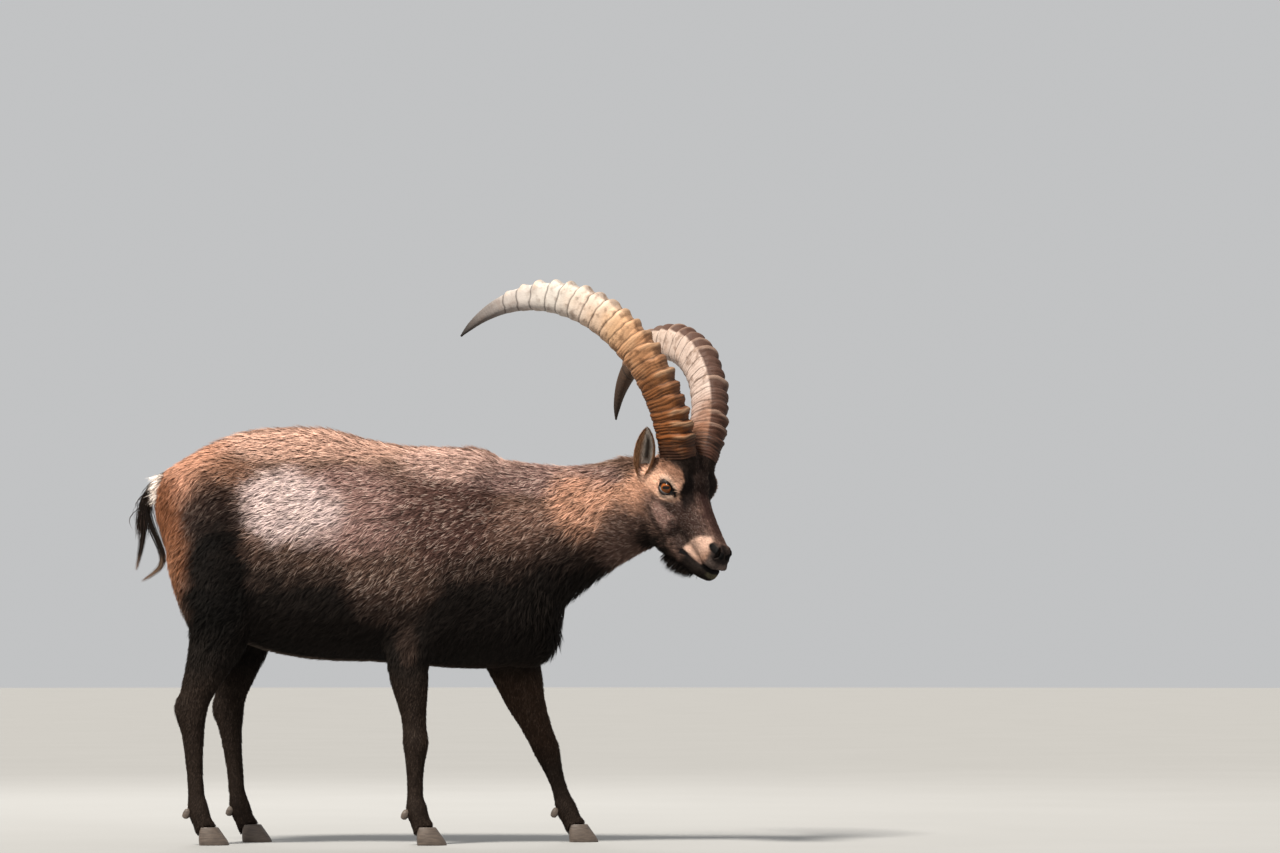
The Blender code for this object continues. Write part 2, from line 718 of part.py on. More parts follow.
def hoof_claw(name, centre, heading, inward):
    """One claw: flat sole, upright inner wall, sloping toe and a rounded heel."""
    heading = Vector(heading).normalized()
    across = Vector((-heading.y, heading.x, 0)) * inward
    rings = []
    rows = (  # height share, toe reach, heel reach, inner wall, outer wall
        (0.0, 0.58, 0.40, 0.020, 0.98),
        (0.25, 0.52, 0.42, 0.015, 1.00),
        (0.60, 0.36, 0.42, 0.015, 0.95),
        (1.0, 0.20, 0.38, 0.030, 0.84),
    )
    for high, toe, heel, inner, outer in rows:
        ring = []
        for i in range(12):
            turn = 2 * math.pi * i / 12
            c, s = math.cos(turn), math.sin(turn)
            along = HOOF_LENGTH * (toe if c > 0 else heel) * math.copysign(abs(c) ** 0.85, c)
            middle, half = (inner + outer) / 2 * HOOF_WIDTH, (outer - inner) / 2 * HOOF_WIDTH
            pinch = 1.0 - 0.45 * max(0.0, c) ** 2
            sideways = middle - half + half * (1 + math.copysign(abs(s) ** 0.7, s)) * (pinch if s > 0 else 1.0)
            if s <= 0:
                sideways = middle - half + half * (1 - abs(s) ** 0.7) * pinch
            ring.append(Vector(centre) + heading * along + across * (sideways + 0.0012)
                        + Vector((0, 0, HOOF_HEIGHT * high)))
        rings.append(ring)
    return loft(name, rings)


def region(name, face_centre, direction, reach, half_size, side=Vector((0, 1, 0)), wider=0.0):
    """A cutter box, its first face moved out by the parting gap when wider is given."""
    way = Vector(direction).normalized()
    return box(name, Vector(face_centre) - way * wider, way, reach + wider, half_size, side)


def leg_regions():
    """The box below each leg's parting from the trunk, and below its knee or hock, by node name."""
    found = {}
    for name, (side, top, middle, rear, front) in LEG_CUTS.items():
        for part, height in (("upper", top), ("lower", middle)):
            centre = Vector(((rear + front) / 2, side * sum(LEG_REACH_Y) / 2, height))
            half = ((LEG_REACH_Y[1] - LEG_REACH_Y[0]) / 2, (front - rear) / 2)
            found[f"{name}_{part}"] = (centre, Vector((0, 0, -1)), height + 0.02, half)
    return found


def part_flesh(whole):
    """Thin plane cuts through the whole surface. Returns the named pieces."""
    head_cut = (on_head(-0.084, 0, -0.072), head_way(0.86, 0.0, 0.51), 0.40, (0.17, 0.20), HEAD_AXES.col[1])
    neck_cut = (Vector((0.262, 0.0, 0.698)), Vector((0.92, -0.08, 0.38)), 0.45, (0.20, 0.230))
    legs = leg_regions()

    head = thinned(whole, "head", HEAD_MESH)
    boolean(head, region("cutter", *head_cut), "INTERSECT")
    neck_node = thinned(whole, "neck", BODY_MESH)
    boolean(neck_node, region("cutter", *neck_cut), "INTERSECT")
    boolean(neck_node, region("cutter", *head_cut, wider=GAP), "DIFFERENCE")
    nodes = {"head": head, "neck": neck_node}
    leg_mesh = thinned(whole, "leg_mesh", LEG_MESH)
    for name, cut in legs.items():
        made = copy_of(leg_mesh, name)
        boolean(made, region("cutter", *cut), "INTERSECT")
        if name.endswith("upper"):
            boolean(made, region("cutter", *legs[name.replace("upper", "lower")], wider=GAP), "DIFFERENCE")
        nodes[name] = made
    bpy.data.objects.remove(leg_mesh, do_unlink=True)
    torso = thinned(whole, "torso", BODY_MESH)
    boolean(torso, region("cutter", *head_cut, wider=GAP), "DIFFERENCE")
    boolean(torso, region("cutter", *neck_cut, wider=GAP), "DIFFERENCE")
    for name, cut in legs.items():
        if name.endswith("upper"):
            boolean(torso, region("cutter", *cut, wider=GAP), "DIFFERENCE")
    nodes["torso"] = torso
    bpy.data.objects.remove(whole, do_unlink=True)
    for made in nodes.values():
        largest_body(made)
    return nodes


def finish_head(head, eyes):
    """Lids round the eyes, nostrils and the line of the mouth."""
    for side, eye_centre in eyes:
        gaze = head_way(0.45, side * 0.87, 0.18)
        up = head_way(-0.34, 0, 0.94)
        up = (up - gaze * gaze.dot(up)).normalized()
        across = up.cross(gaze) * -side
        lids = ellipsoid("lids", eye_centre, (EYE_RADIUS + 0.0032,) * 3, segments=28)
        boolean(head, lids, "UNION")
        opening = []
        for near in (0.004, 0.060):
            ring = []
            for i in range(18):
                turn = 2 * math.pi * i / 18
                c, s = math.cos(turn), math.sin(turn)
                ring.append(eye_centre + gaze * near + across * 0.0172 * c
                            + up * 0.0105 * math.copysign(abs(s) ** 1.15, s))
            opening.append(ring)
        boolean(head, loft("opening", opening), "DIFFERENCE")
        boolean(head, ellipsoid("socket", eye_centre, (EYE_RADIUS + GAP,) * 3, segments=28), "DIFFERENCE")
        nostril = Matrix((head_way(0.72, -side * 0.45, -0.53), head_way(0.45, side * 0.85, -0.10),
                          head_way(-0.45, side * 0.20, 0.85))).transposed()
        boolean(head, ellipsoid("nostril", on_head(0.195, side * 0.0205, 0.000), (0.0165, 0.0115, 0.0078), nostril,
                                16), "DIFFERENCE")
    boolean(head, mouth_cutter(), "DIFFERENCE")
    return largest_body(head)


MOUTH_LINE = ((0.128, 0.0275, -0.063), (0.150, 0.0300, -0.058), (0.172, 0.0315, -0.051), (0.190, 0.0270, -0.045),
              (0.203, 0.0170, -0.040), (0.210, 0.0060, -0.037))


def mouth_cutter():
    """A thin curved wedge that parts the lips from one corner of the mouth to the other."""
    path = [Vector((a, -b, c)) for a, b, c in MOUTH_LINE] + [Vector((a, b, c)) for a, b, c in reversed(MOUTH_LINE)]
    middle = Vector((0.150, 0.0, -0.052))
    rings = []
    for i, point in enumerate(path):
        out = (point - middle)
        out.z = 0
        out.normalize()
        edge = min(i, len(path) - 1 - i)
        open_by = 0.0018 + 0.0006 * edge
        inner, outer = point - out * 0.009, point + out * 0.014
        rings.append([on_head(*(inner + Vector((0, 0, 0.0006)))), on_head(*(outer + Vector((0, 0, open_by)))),
                      on_head(*(outer - Vector((0, 0, open_by)))), on_head(*(inner - Vector((0, 0, 0.0006))))])
    return loft("mouth_line", rings)


def beard(head):
    """A short goatee of flat locks under the front half of the jaw."""
    random = np.random.default_rng(5)
    down = HEAD_AXES.transposed() @ Vector((0, 0, -1))
    pieces = [ellipsoid("beard_core", on_head(0.122, 0, -0.105), (0.040, 0.015, 0.014), HEAD_AXES, 12)]
    for row in range(6):
        for column in (-1, 0, 1):
            a = 0.090 + 0.0125 * row + 0.002 * random.normal()
            root = Vector((a, 0.009 * column, -0.104 + 0.38 * (a - 0.122)))
            way = Vector((-0.12, 0.22 * column, -1.0)).normalized()
            length = 0.026 + 0.009 * math.sin(math.pi * (row + 0.7) / 6) + 0.003 * random.random()
            turned = way.lerp(down, 0.35).normalized()
            path = (root, root + way * length * 0.5, root + way * length * 0.5 + turned * length * 0.5)
            flat = head_way(1.0, 0.5 * column, 0.0)
            pieces.append(lock(f"beard_lock_{row}_{column}", [on_head(*p) for p in path], 0.016, 0.007, flat, 3))
    made = unite("beard", pieces)
    boolean(made, swollen(head, "head_clearance", GAP), "DIFFERENCE")
    return largest_body(made)


def tail(torso):
    """A short tail with a black tuft that ends in two long bent wisps."""
    random = np.random.default_rng(3)
    bone = ((-0.596, 0.828), (-0.618, 0.818), (-0.636, 0.796), (-0.644, 0.766), (-0.645, 0.736))
    path = smooth_rows([(x, 0.0, z) for x, z in bone], 7)
    rings = []
    for i, point in enumerate(path):
        ahead = Vector(path[min(i + 1, 6)] - path[max(i - 1, 0)]).normalized()
        side = Vector((0, 1, 0))
        half = 0.021 - 0.008 * i / 6
        rings.append(oval(point, side, ahead.cross(side), half, half * 0.62, half * 0.62, 10, 2.0))
    pieces = [loft("tail_core", rings)]
    for row in range(4):
        for column in (-1, 0, 1):
            x, _, z = path[2 + row]
            length = 0.055 + 0.012 * random.random()
            way = Vector((-0.12 + 0.10 * random.random(), 0.26 * column, -1.0)).normalized()
            start = Vector((x + 0.004, 0.008 * column, z))
            bend = Vector((0.06 * random.normal(), 0.0, -1.0))
            points = (start, start + way * length * 0.5, start + way * length * 0.5 + bend * length * 0.45)
            pieces.append(lock(f"tail_lock_{row}_{column}", points, 0.017, 0.007, (0.25 * column, 1, 0), 3))
    for name, wisp in (
        ("wisp_back", ((-0.645, -0.004, 0.745), (-0.641, -0.006, 0.700), (-0.650, -0.008, 0.650),
                       (-0.659, -0.009, 0.611))),
        ("wisp_front", ((-0.640, -0.010, 0.745), (-0.622, -0.014, 0.694), (-0.594, -0.016, 0.640),
                        (-0.611, -0.017, 0.611), (-0.646, -0.018, 0.588))),
    ):
        pieces.append(lock(name, wisp, 0.016, 0.007, (0.3, 1, 0.2), 7))
    made = unite("tail", pieces)
    boolean(made, swollen(torso, "torso_clearance", GAP), "DIFFERENCE")
    return largest_body(made)


def feet():
    """Two claws and two dewclaws on each foot. Returns the objects by name."""
    made = {}
    for corner, side, rows, advance in (
        ("fore_right", -1, FORELEG_STANDING, 0.0),
        ("fore_left", 1, FORELEG_REACHING, 0.0),
        ("hind_right", -1, HINDLEG, 0.0),
        ("hind_left", 1, HINDLEG, HINDLEG_ADVANCE[0][1]),
    ):
        x, _, _, _, y = rows[-1]
        place = Vector((x + advance + 0.010, side * y, 0.0))
        fx, fz, depth, _, fy = rows[-3]
        for which, across in (("inner", -side), ("outer", side)):
            name = f"hoof_{corner}_{which}"
            made[name] = hoof_claw(name, place, (1, 0, 0), across)
            name = f"dewclaw_{corner}_{which}"
            spot = Vector((fx + advance - depth + 0.001, side * fy + across * 0.0125, fz - 0.010))
            made[name] = ellipsoid(name, spot, (0.009, 0.0075, 0.013), Matrix.Rotation(math.radians(25), 3, "Y"), 8)
    return made


def leg_of(name):
    """The lower leg that a hoof or dewclaw belongs to."""
    _, corner, place, _ = name.split("_")
    return f"{corner}leg_{place}_lower"


def centre_over_origin(objects):
    """Slides everything so that the middle of the whole box stands over the origin."""
    places = [v.co for obj in objects for v in obj.data.vertices]
    shift = [-(min(p[k] for p in places) + max(p[k] for p in places)) / 2 for k in (0, 1)]
    for obj in objects:
        obj.data.transform(Matrix.Translation((*shift, 0.0)))


FINISHES = (("horn", "horn"), ("hoof", "hoof"), ("dewclaw", "hoof"), ("eye", "eye"), ("tail", "dark_coat"),
            ("beard", "dark_coat"))


def finish_of(name):
    for start, finish in FINISHES:
        if name.startswith(start):
            return finish
    return "dark_coat" if "leg_" in name else "coat"


def main():
    clear_scene()
    nodes = part_flesh(flesh())
    eyes = [(side, on_head(-0.006, side * 0.050, -0.001)) for side in (-1, 1)]
    finish_head(nodes["head"], eyes)
    for side, place in eyes:
        name = "eye_right" if side < 0 else "eye_left"
        nodes[name] = ellipsoid(name, place, (EYE_RADIUS,) * 3, HEAD_AXES, 16)
    for side, word in ((-1, "right"), (1, "left")):
        nodes[f"horn_{word}"] = horn(f"horn_{word}", side)
        way = horn_way(0.0, side)
        base = horn_root(side) - way * GAP
        across = horn_axes(0.0, side).col[0]
        boolean(nodes["head"], box("cutter", base, way, 0.06, (0.070, 0.034), across), "DIFFERENCE")
        nodes[f"ear_{word}"] = ear(f"ear_{word}", side)
    largest_body(nodes["head"])
    for word in ("right", "left"):
        made = nodes[f"ear_{word}"]
        for neighbour in ("head", f"horn_{word}", "neck"):
            boolean(made, swollen(nodes[neighbour], "clearance", GAP), "DIFFERENCE")
        largest_body(made)
    nodes["beard"] = beard(nodes["head"])
    nodes["tail"] = tail(nodes["torso"])
    for name, made in feet().items():
        lower = nodes[leg_of(name)]
        if name.startswith("hoof"):
            boolean(lower, swollen(made, "clearance", GAP), "DIFFERENCE")
        else:
            boolean(made, swollen(lower, "clearance", GAP), "DIFFERENCE")
            largest_body(made)
        nodes[name] = made
    for name in [n for n in nodes if n.endswith("_lower")]:
        largest_body(nodes[name])
    centre_over_origin(nodes.values())
    for name, made in nodes.items():
        made.name = name
        made.data.name = name
        made.data.materials.clear()
        made.data.materials.append(material(finish_of(name)))
        print(name, len(made.data.polygons))


main()
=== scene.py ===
# %% [markdown]
# An alpine ibex at life size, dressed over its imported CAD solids.
# The solids fix where everything is. This script loads them, grows one smooth skin inside
# the flesh, and covers it with many thousands of small tufts of real mesh.
# Horns, eyes, lids, ears, beard, tail and hooves are finer pieces in the places of the solids.

# %% Load the frame
import math

import bmesh
import bpy
import numpy as np
from mathutils import Matrix, Vector
from mathutils.bvhtree import BVHTree
from mathutils.kdtree import KDTree


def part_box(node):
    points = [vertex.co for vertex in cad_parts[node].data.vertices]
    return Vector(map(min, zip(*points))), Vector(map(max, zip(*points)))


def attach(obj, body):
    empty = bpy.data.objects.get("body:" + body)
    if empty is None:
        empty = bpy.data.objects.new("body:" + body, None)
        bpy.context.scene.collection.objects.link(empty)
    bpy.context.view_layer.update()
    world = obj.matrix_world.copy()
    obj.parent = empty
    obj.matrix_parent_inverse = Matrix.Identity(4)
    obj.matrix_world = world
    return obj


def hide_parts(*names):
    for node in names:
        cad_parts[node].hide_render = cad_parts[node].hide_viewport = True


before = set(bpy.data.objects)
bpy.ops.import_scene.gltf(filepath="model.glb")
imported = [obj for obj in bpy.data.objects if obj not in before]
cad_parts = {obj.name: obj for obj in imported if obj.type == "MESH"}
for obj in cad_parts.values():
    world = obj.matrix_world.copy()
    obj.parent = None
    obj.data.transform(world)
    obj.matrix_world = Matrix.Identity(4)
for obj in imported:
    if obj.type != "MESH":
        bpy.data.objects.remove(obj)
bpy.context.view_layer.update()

# %% [markdown]
# The head is turned and dipped, so its details are easier to place in its own axes:
# a forwards along the nose, b to the animal's left, c up out of the forehead.
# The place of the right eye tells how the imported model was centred.

# %% Head axes
HEAD_PLACE = Vector((0.5706, -0.120, 0.787))
HEAD_YAW = math.radians(47.2)
HEAD_PITCH = math.radians(47.2)
HEAD_ROLL = math.radians(7.8)
EYE_PLACE = (-0.006, 0.050, -0.001)
EYE_RADIUS = 0.0180


def head_axes():
    """The head's a, b and c as columns in the world's axes."""
    level = math.cos(HEAD_PITCH)
    ahead = Vector((level * math.cos(HEAD_YAW), -level * math.sin(HEAD_YAW), -math.sin(HEAD_PITCH)))
    level_left = Vector((math.sin(HEAD_YAW), math.cos(HEAD_YAW), 0.0))
    level_up = ahead.cross(level_left)
    left = level_left * math.cos(HEAD_ROLL) - level_up * math.sin(HEAD_ROLL)
    return Matrix((ahead, left, ahead.cross(left))).transposed()


HEAD_AXES = head_axes()
eye_low, eye_high = [Vector(corner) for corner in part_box("eye_right")]
right_eye = Vector((EYE_PLACE[0], -EYE_PLACE[1], EYE_PLACE[2]))
SHIFT = (eye_low + eye_high) / 2 - (HEAD_PLACE + HEAD_AXES @ right_eye)


def on_head(a, b, c):
    return SHIFT + HEAD_PLACE + HEAD_AXES @ Vector((a, b, c))


def head_way(a, b, c):
    return (HEAD_AXES @ Vector((a, b, c))).normalized()


print("centred by", [round(v, 4) for v in SHIFT])

# %% [markdown]
# The camera stands low and far off with a long lens, as the photographer did.
# The key light is a soft sun, high and a little to the left. Two wide panels fill the shadows
# and brighten the far side.

# %% Camera and light
LENS = 150
CAMERA_PLACE = SHIFT + Vector((0.4725, -12.0, 0.455))
CAMERA_TARGET = SHIFT + Vector((0.4725, 0.0, 0.937))
LIGHT_AIM = Vector((0, 0, 0.7))
SKY = (0.84, 0.85, 0.86, 1)
SKY_STRENGTH = 0.64
scene = bpy.context.scene
camera = bpy.data.objects.new("camera", bpy.data.cameras.new("camera"))
scene.collection.objects.link(camera)
camera.data.lens = LENS
camera.data.sensor_width = 36
camera.data.clip_end = 100
camera.location = CAMERA_PLACE
camera.rotation_euler = (CAMERA_TARGET - camera.location).to_track_quat("-Z", "Y").to_euler()
scene.camera = camera


def soft_light(name, kind, place, power, size, colour):
    """A panel of a size in metres, or a far sun whose width in the sky softens its shadows."""
    lamp = bpy.data.lights.new(name, kind)
    lamp.energy = power
    lamp.color = colour
    if kind == "SUN":
        lamp.angle = size
    else:
        lamp.size = size
    holder = bpy.data.objects.new(name, lamp)
    holder.location = place
    holder.visible_glossy = kind == "SUN"
    holder.rotation_euler = (LIGHT_AIM - Vector(place)).to_track_quat("-Z", "Y").to_euler()
    scene.collection.objects.link(holder)


soft_light("key", "SUN", (-1.5, -2.3, 4.9), 9.0, math.radians(12), (1.0, 0.94, 0.85))
soft_light("fill", "AREA", (3.6, -3.4, 1.6), 40, 2.4, (0.92, 0.96, 1.0))
soft_light("back", "AREA", (-1.0, 3.6, 3.8), 170, 1.8, (1.0, 0.98, 0.95))
world = bpy.data.worlds.new("studio")
world.use_nodes = True
background = world.node_tree.nodes["Background"]
background.inputs["Color"].default_value = SKY
background.inputs["Strength"].default_value = SKY_STRENGTH
scene.world = world
scene.view_settings.view_transform = "Standard"
print("lens", LENS, "lights", len(bpy.data.lights))

# %% [markdown]
# Every mesh here is made from number arrays, because that is quick for very many small faces.

# %% Mesh helpers
DRAW = 0.5
PUSH_BACK = -0.53


def new_mesh(name, verts, faces):
    """A smooth mesh from points and faces that all have the same number of corners."""
    faces = np.asarray(faces, np.int32)
    mesh = bpy.data.meshes.new(name)
    mesh.vertices.add(len(verts))
    mesh.vertices.foreach_set("co", np.asarray(verts, np.float32).ravel())
    mesh.loops.add(faces.size)
    mesh.loops.foreach_set("vertex_index", faces.ravel())
    mesh.polygons.add(len(faces))
    mesh.polygons.foreach_set("loop_start", np.arange(len(faces), dtype=np.int32) * faces.shape[1])
    mesh.update(calc_edges=True)
    mesh.shade_smooth()
    return mesh


def new_piece(name, verts, faces, material, nodes=()):
    """An object that rides on the body, with its material, slot and the solids it stands for."""
    piece = bpy.data.objects.new(name, new_mesh(name, verts, faces))
    scene.collection.objects.link(piece)
    piece.data.materials.append(material)
    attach(piece, "root")
    if nodes:
        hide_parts(*nodes)
    return piece


def tube_corners(rows, around):
    """Two corners of each quad of a closed tube; the other two lie one row further on."""
    row, column = np.meshgrid(np.arange(rows - 1), np.arange(around), indexing="ij")
    return (row * around + column).ravel(), (row * around + (column + 1) % around).ravel()


def tube_tris(rows, around):
    a, b = tube_corners(rows, around)
    return np.concatenate((np.stack((a, b, b + around), 1), np.stack((a, b + around, a + around), 1)))


def paint(mesh, name, values):
    """Stores four numbers for each point."""
    layer = mesh.attributes.new(name, "FLOAT_COLOR", "POINT")
    layer.data.foreach_set("color", np.asarray(values, np.float32).ravel())


def unit(vectors):
    return vectors / np.maximum(np.linalg.norm(vectors, axis=-1, keepdims=True), 1e-9)


def ease(values, low, high):
    """0 below low, 1 above high and smooth between; low may be the larger."""
    t = np.clip((values - low) / (high - low), 0, 1)
    return t * t * (3 - 2 * t)


def rough(points, size, seed):
    """Smooth noise from about -1 to 1 with lumps of about the given size."""
    random = np.random.default_rng(seed)
    total = np.zeros(len(points))
    for octave in range(4):
        turn = unit(random.normal(size=(3, 3)))
        waves = points @ turn.T * (6.3 / size * 1.7**octave) + random.uniform(0, 6.3, 3)
        total += np.sin(waves[:, 0] + 1.3 * np.sin(waves[:, 1])) * np.cos(waves[:, 2]) * 0.75**octave
    return total / 1.6


def point_normals(verts, tris):
    a, b, c = (verts[tris[:, k]] for k in range(3))
    face = np.cross(b - a, c - a)
    total = np.zeros_like(verts)
    for axis in range(3):
        for corner in range(3):
            total[:, axis] += np.bincount(tris[:, corner], face[:, axis], len(verts))
    return unit(total)


def relaxed(verts, edges, rounds, weight):
    """Evens out bumps by drawing points together, and pushes back to keep the volume."""
    ends = np.concatenate((edges[:, 0], edges[:, 1]))
    others = np.concatenate((edges[:, 1], edges[:, 0]))
    count = np.maximum(np.bincount(ends, minlength=len(verts)), 1)[:, None]
    for _ in range(rounds):
        for factor in (DRAW, PUSH_BACK):
            mean = np.stack([np.bincount(ends, verts[others, k], len(verts)) for k in range(3)], 1)
            verts = verts + factor * weight[:, None] * (mean / count - verts)
    return verts


# %% [markdown]
# The flesh nodes of the solids are parted at the joints of the body. Here they are joined again
# into one skin: slightly swollen copies are fused by a voxel remesh, which closes the thin gaps.
# The head needs folds a few millimetres across, so each edge there is cut in three places.

# %% Fuse the flesh into one skin
FLESH = [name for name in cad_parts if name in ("torso", "neck", "head") or "leg_" in name]
SKIN_VOXEL = 0.0066
SWELL = 0.0005
WELD = 1e-5
HEAD_CUTS = 3


def flesh_mesh():
    work = bmesh.new()
    for name in FLESH:
        work.from_mesh(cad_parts[name].data)
    bmesh.ops.remove_doubles(work, verts=work.verts, dist=WELD)
    work.normal_update()
    for vert in work.verts:
        vert.co += vert.normal * SWELL
    mesh = bpy.data.meshes.new("flesh")
    work.to_mesh(mesh)
    work.free()
    return mesh


def to_head(points):
    """Points in the head's own axes."""
    return (points - np.array(SHIFT + HEAD_PLACE)) @ np.array(HEAD_AXES)


def near_head(points):
    """1 on the head, falling to 0 in the nape and throat."""
    local = to_head(points)
    along = local[:, 0] + 0.45 * local[:, 2]
    near = np.linalg.norm(local - np.array((0.05, 0, -0.02)), axis=1)
    return ease(along, -0.13, -0.085) * ease(near, 0.24, 0.19)


holder = bpy.data.objects.new("flesh", flesh_mesh())
scene.collection.objects.link(holder)
fuse = holder.modifiers.new("fuse", "REMESH")
fuse.mode = "VOXEL"
fuse.voxel_size = SKIN_VOXEL
graph = bpy.context.evaluated_depsgraph_get()
fused = bpy.data.meshes.new_from_object(holder.evaluated_get(graph))
flesh_search = BVHTree.FromPolygons([v.co.copy() for v in holder.data.vertices],
                                    [list(p.vertices) for p in holder.data.polygons])
bpy.data.objects.remove(holder)

work = bmesh.new()
work.from_mesh(fused)
centres = np.array([f.calc_center_median() for f in work.faces])
on_face = near_head(centres) > 0.02
finer = {edge for face, chosen in zip(work.faces, on_face) if chosen for edge in face.edges}
bmesh.ops.subdivide_edges(work, edges=list(finer), cuts=HEAD_CUTS, use_grid_fill=True)
bmesh.ops.triangulate(work, faces=work.faces)
work.verts.index_update()
skin_verts = np.array([v.co for v in work.verts])
skin_tris = np.array([[v.index for v in f.verts] for f in work.faces], np.int32)
skin_edges = np.array([[v.index for v in e.verts] for e in work.edges], np.int32)
work.free()
print("skin", len(skin_verts), "points", len(skin_tris), "triangles")

# %% [markdown]
# The head's finer points are drawn back to the solids, away from eyes, nostrils and lips,
# which are carved again below. Then the whole skin is evened out.

# %% Draw the head back to its solid, then even out
MOUTH_LINE = ((0.118, 0.0290, -0.070), (0.128, 0.0290, -0.064), (0.150, 0.0305, -0.060),
              (0.172, 0.0310, -0.053), (0.190, 0.0270, -0.046), (0.203, 0.0180, -0.041),
              (0.2105, 0.0060, -0.038), (0.2110, 0.0, -0.037))
NOSTRIL = (0.195, 0.0205, 0.000)
KEEP_OFF_EYE = 0.027
KEEP_OFF_NOSTRIL = 0.016
KEEP_OFF_MOUTH = 0.007
EVEN_ROUNDS = 14


def mirrored(local):
    """The same place on the right side of the head, where b counts as positive."""
    return np.stack((local[:, 0], np.abs(local[:, 1]), local[:, 2]), 1)


def line_distance(points, path):
    """How far each point is from a line of straight pieces, and how far along the line it is nearest."""
    best = np.full(len(points), 9.0)
    where = np.zeros(len(points))
    for i in range(len(path) - 1):
        start, end = np.array(path[i]), np.array(path[i + 1])
        share = np.clip((points - start) @ (end - start) / ((end - start) @ (end - start)), 0, 1)
        gap = np.linalg.norm(points - start - share[:, None] * (end - start), axis=1)
        closer = gap < best
        best[closer] = gap[closer]
        where[closer] = (i + share[closer]) / (len(path) - 1)
    return best, where


head_share = near_head(skin_verts)
local = mirrored(to_head(skin_verts))
from_eye = np.linalg.norm(local - np.array(EYE_PLACE), axis=1)
from_nostril = np.linalg.norm(local - np.array(NOSTRIL), axis=1)
from_mouth, _ = line_distance(local, MOUTH_LINE)
drawn = (head_share > 0.5) & (from_eye > KEEP_OFF_EYE)
drawn &= (from_nostril > KEEP_OFF_NOSTRIL) & (from_mouth > KEEP_OFF_MOUTH)
for i in np.nonzero(drawn)[0]:
    found = flesh_search.find_nearest(skin_verts[i], 0.012)
    if found[0] is not None:
        skin_verts[i] = found[0]
skin_verts = relaxed(skin_verts, skin_edges, EVEN_ROUNDS, 1 - 0.4 * head_share)
skin_verts = relaxed(skin_verts, skin_edges, EVEN_ROUNDS, head_share)
print("drawn to the solid", int(drawn.sum()))

# %% [markdown]
# A coat has a length, a lift and a lie at every place. The length says how deep the skin lies
# under the outline, so one set of rules serves the skin and the tufts that grow on it.

# %% Length and lie of the coat
def design(points):
    """Points before the model was centred, which the places below are given in."""
    return points - np.array(SHIFT)


def coat_length(points):
    """Hair length in metres: long on neck, chest and back, short on legs and face."""
    x, _, z = design(points).T
    local = mirrored(to_head(points))
    length = 0.024 + 0.006 * ease(z, 0.84, 0.92)
    length += 0.007 * ease(x, 0.14, 0.30) * ease(z, 0.70, 0.55)
    length += 0.002 * ease(x, 0.18, 0.34)
    length -= 0.006 * ease(x, -0.48, -0.60)
    length = length + (0.0105 - length) * ease(z, 0.50, 0.34)
    length = length + (0.0070 - length) * ease(z, 0.30, 0.10)
    face = near_head(points)
    short = 0.0085 - 0.0035 * ease(local[:, 0], 0.0, 0.12) - 0.0022 * ease(local[:, 0], 0.14, 0.185)
    short += 0.008 * ease(local[:, 0], -0.03, -0.09)
    short += 0.006 * ease(local[:, 2], -0.085, -0.115)
    return length + (short - length) * face


def coat_lift(points):
    """Sine of the angle at which the hair leaves the skin."""
    x, _, z = design(points).T
    return 0.26 + 0.10 * ease(x, 0.20, 0.40) * ease(z, 0.80, 0.60) - 0.04 * ease(z, 0.45, 0.30)


def coat_way(points, normals):
    """Unit directions of the hair, lying along the skin."""
    x, y, z = design(points).T
    local = to_head(points)
    parted = 0.10 * np.sign(y) * ease(z, 0.80, 0.93)
    way = np.stack((-np.ones(len(x)), parted, -0.30 - 0.55 * ease(z, 0.80, 0.55)), 1)

    def turn(target, share):
        nonlocal way
        way = way + (unit(np.asarray(target, float).reshape(1, 3)) - way) * np.asarray(share)[:, None]

    turn((-0.55, 0.0, -1.0), ease(x, -0.42, -0.54) * ease(z, 0.92, 0.80))
    turn((-0.10, 0.0, -1.0), ease(x, -0.56, -0.61))
    turn((-0.92, 0.10, -0.62), ease(x, 0.14, 0.28))
    turn((-0.30, 0.0, -1.0), ease(x, 0.12, 0.26) * ease(z, 0.66, 0.52))
    turn((-1.0, 0.0, -0.05), ease(np.abs(y), 0.10, 0.04) * ease(z, 0.50, 0.43) * ease(z, 0.36, 0.40))
    turn((-0.12, 0.0, -1.0), ease(z, 0.50, 0.40) * ease(np.abs(y), 0.035, 0.065))
    face = near_head(points)
    side = np.clip(local[:, 1] / 0.03, -1, 1)
    sunk = -0.25 * np.abs(side) - 0.35 * ease(local[:, 2], -0.03, -0.09)
    back = np.stack((-np.ones(len(x)), 0.28 * side, sunk), 1)
    way = way + (unit(back @ np.array(HEAD_AXES).T) - way) * face[:, None]
    way = unit(way - normals * np.sum(way * normals, 1, keepdims=True))
    swirl = (0.26 * rough(points, 0.09, 21) + 0.14 * rough(points, 0.03, 22)) * (1 - 0.6 * face)
    return unit(way + np.cross(normals, way) * swirl[:, None])


# %% [markdown]
# Carving works like a brush: a patch of skin is pushed along its normal by a depth that fades
# out with distance. The skin first sinks by the depth of its coat.

# %% Carve the face
EYE_GAZE = (0.45, 0.87, 0.18)
EYE_UP = (-0.34, 0.0, 0.94)
OPENING = (0.0186, 0.0108)
CORNERS = 0.25
COAT_SHARE = 0.90
LEAST_COAT = 0.0004


def eye_frame():
    """The eye's own axes for the side where b is positive: across the opening, up it, and outwards."""
    gaze = np.array(EYE_GAZE) / np.linalg.norm(EYE_GAZE)
    up = np.array(EYE_UP) - gaze * (gaze @ np.array(EYE_UP))
    up /= np.linalg.norm(up)
    return np.stack((np.cross(up, gaze), up, gaze), 1)


EYE_AXES = eye_frame()


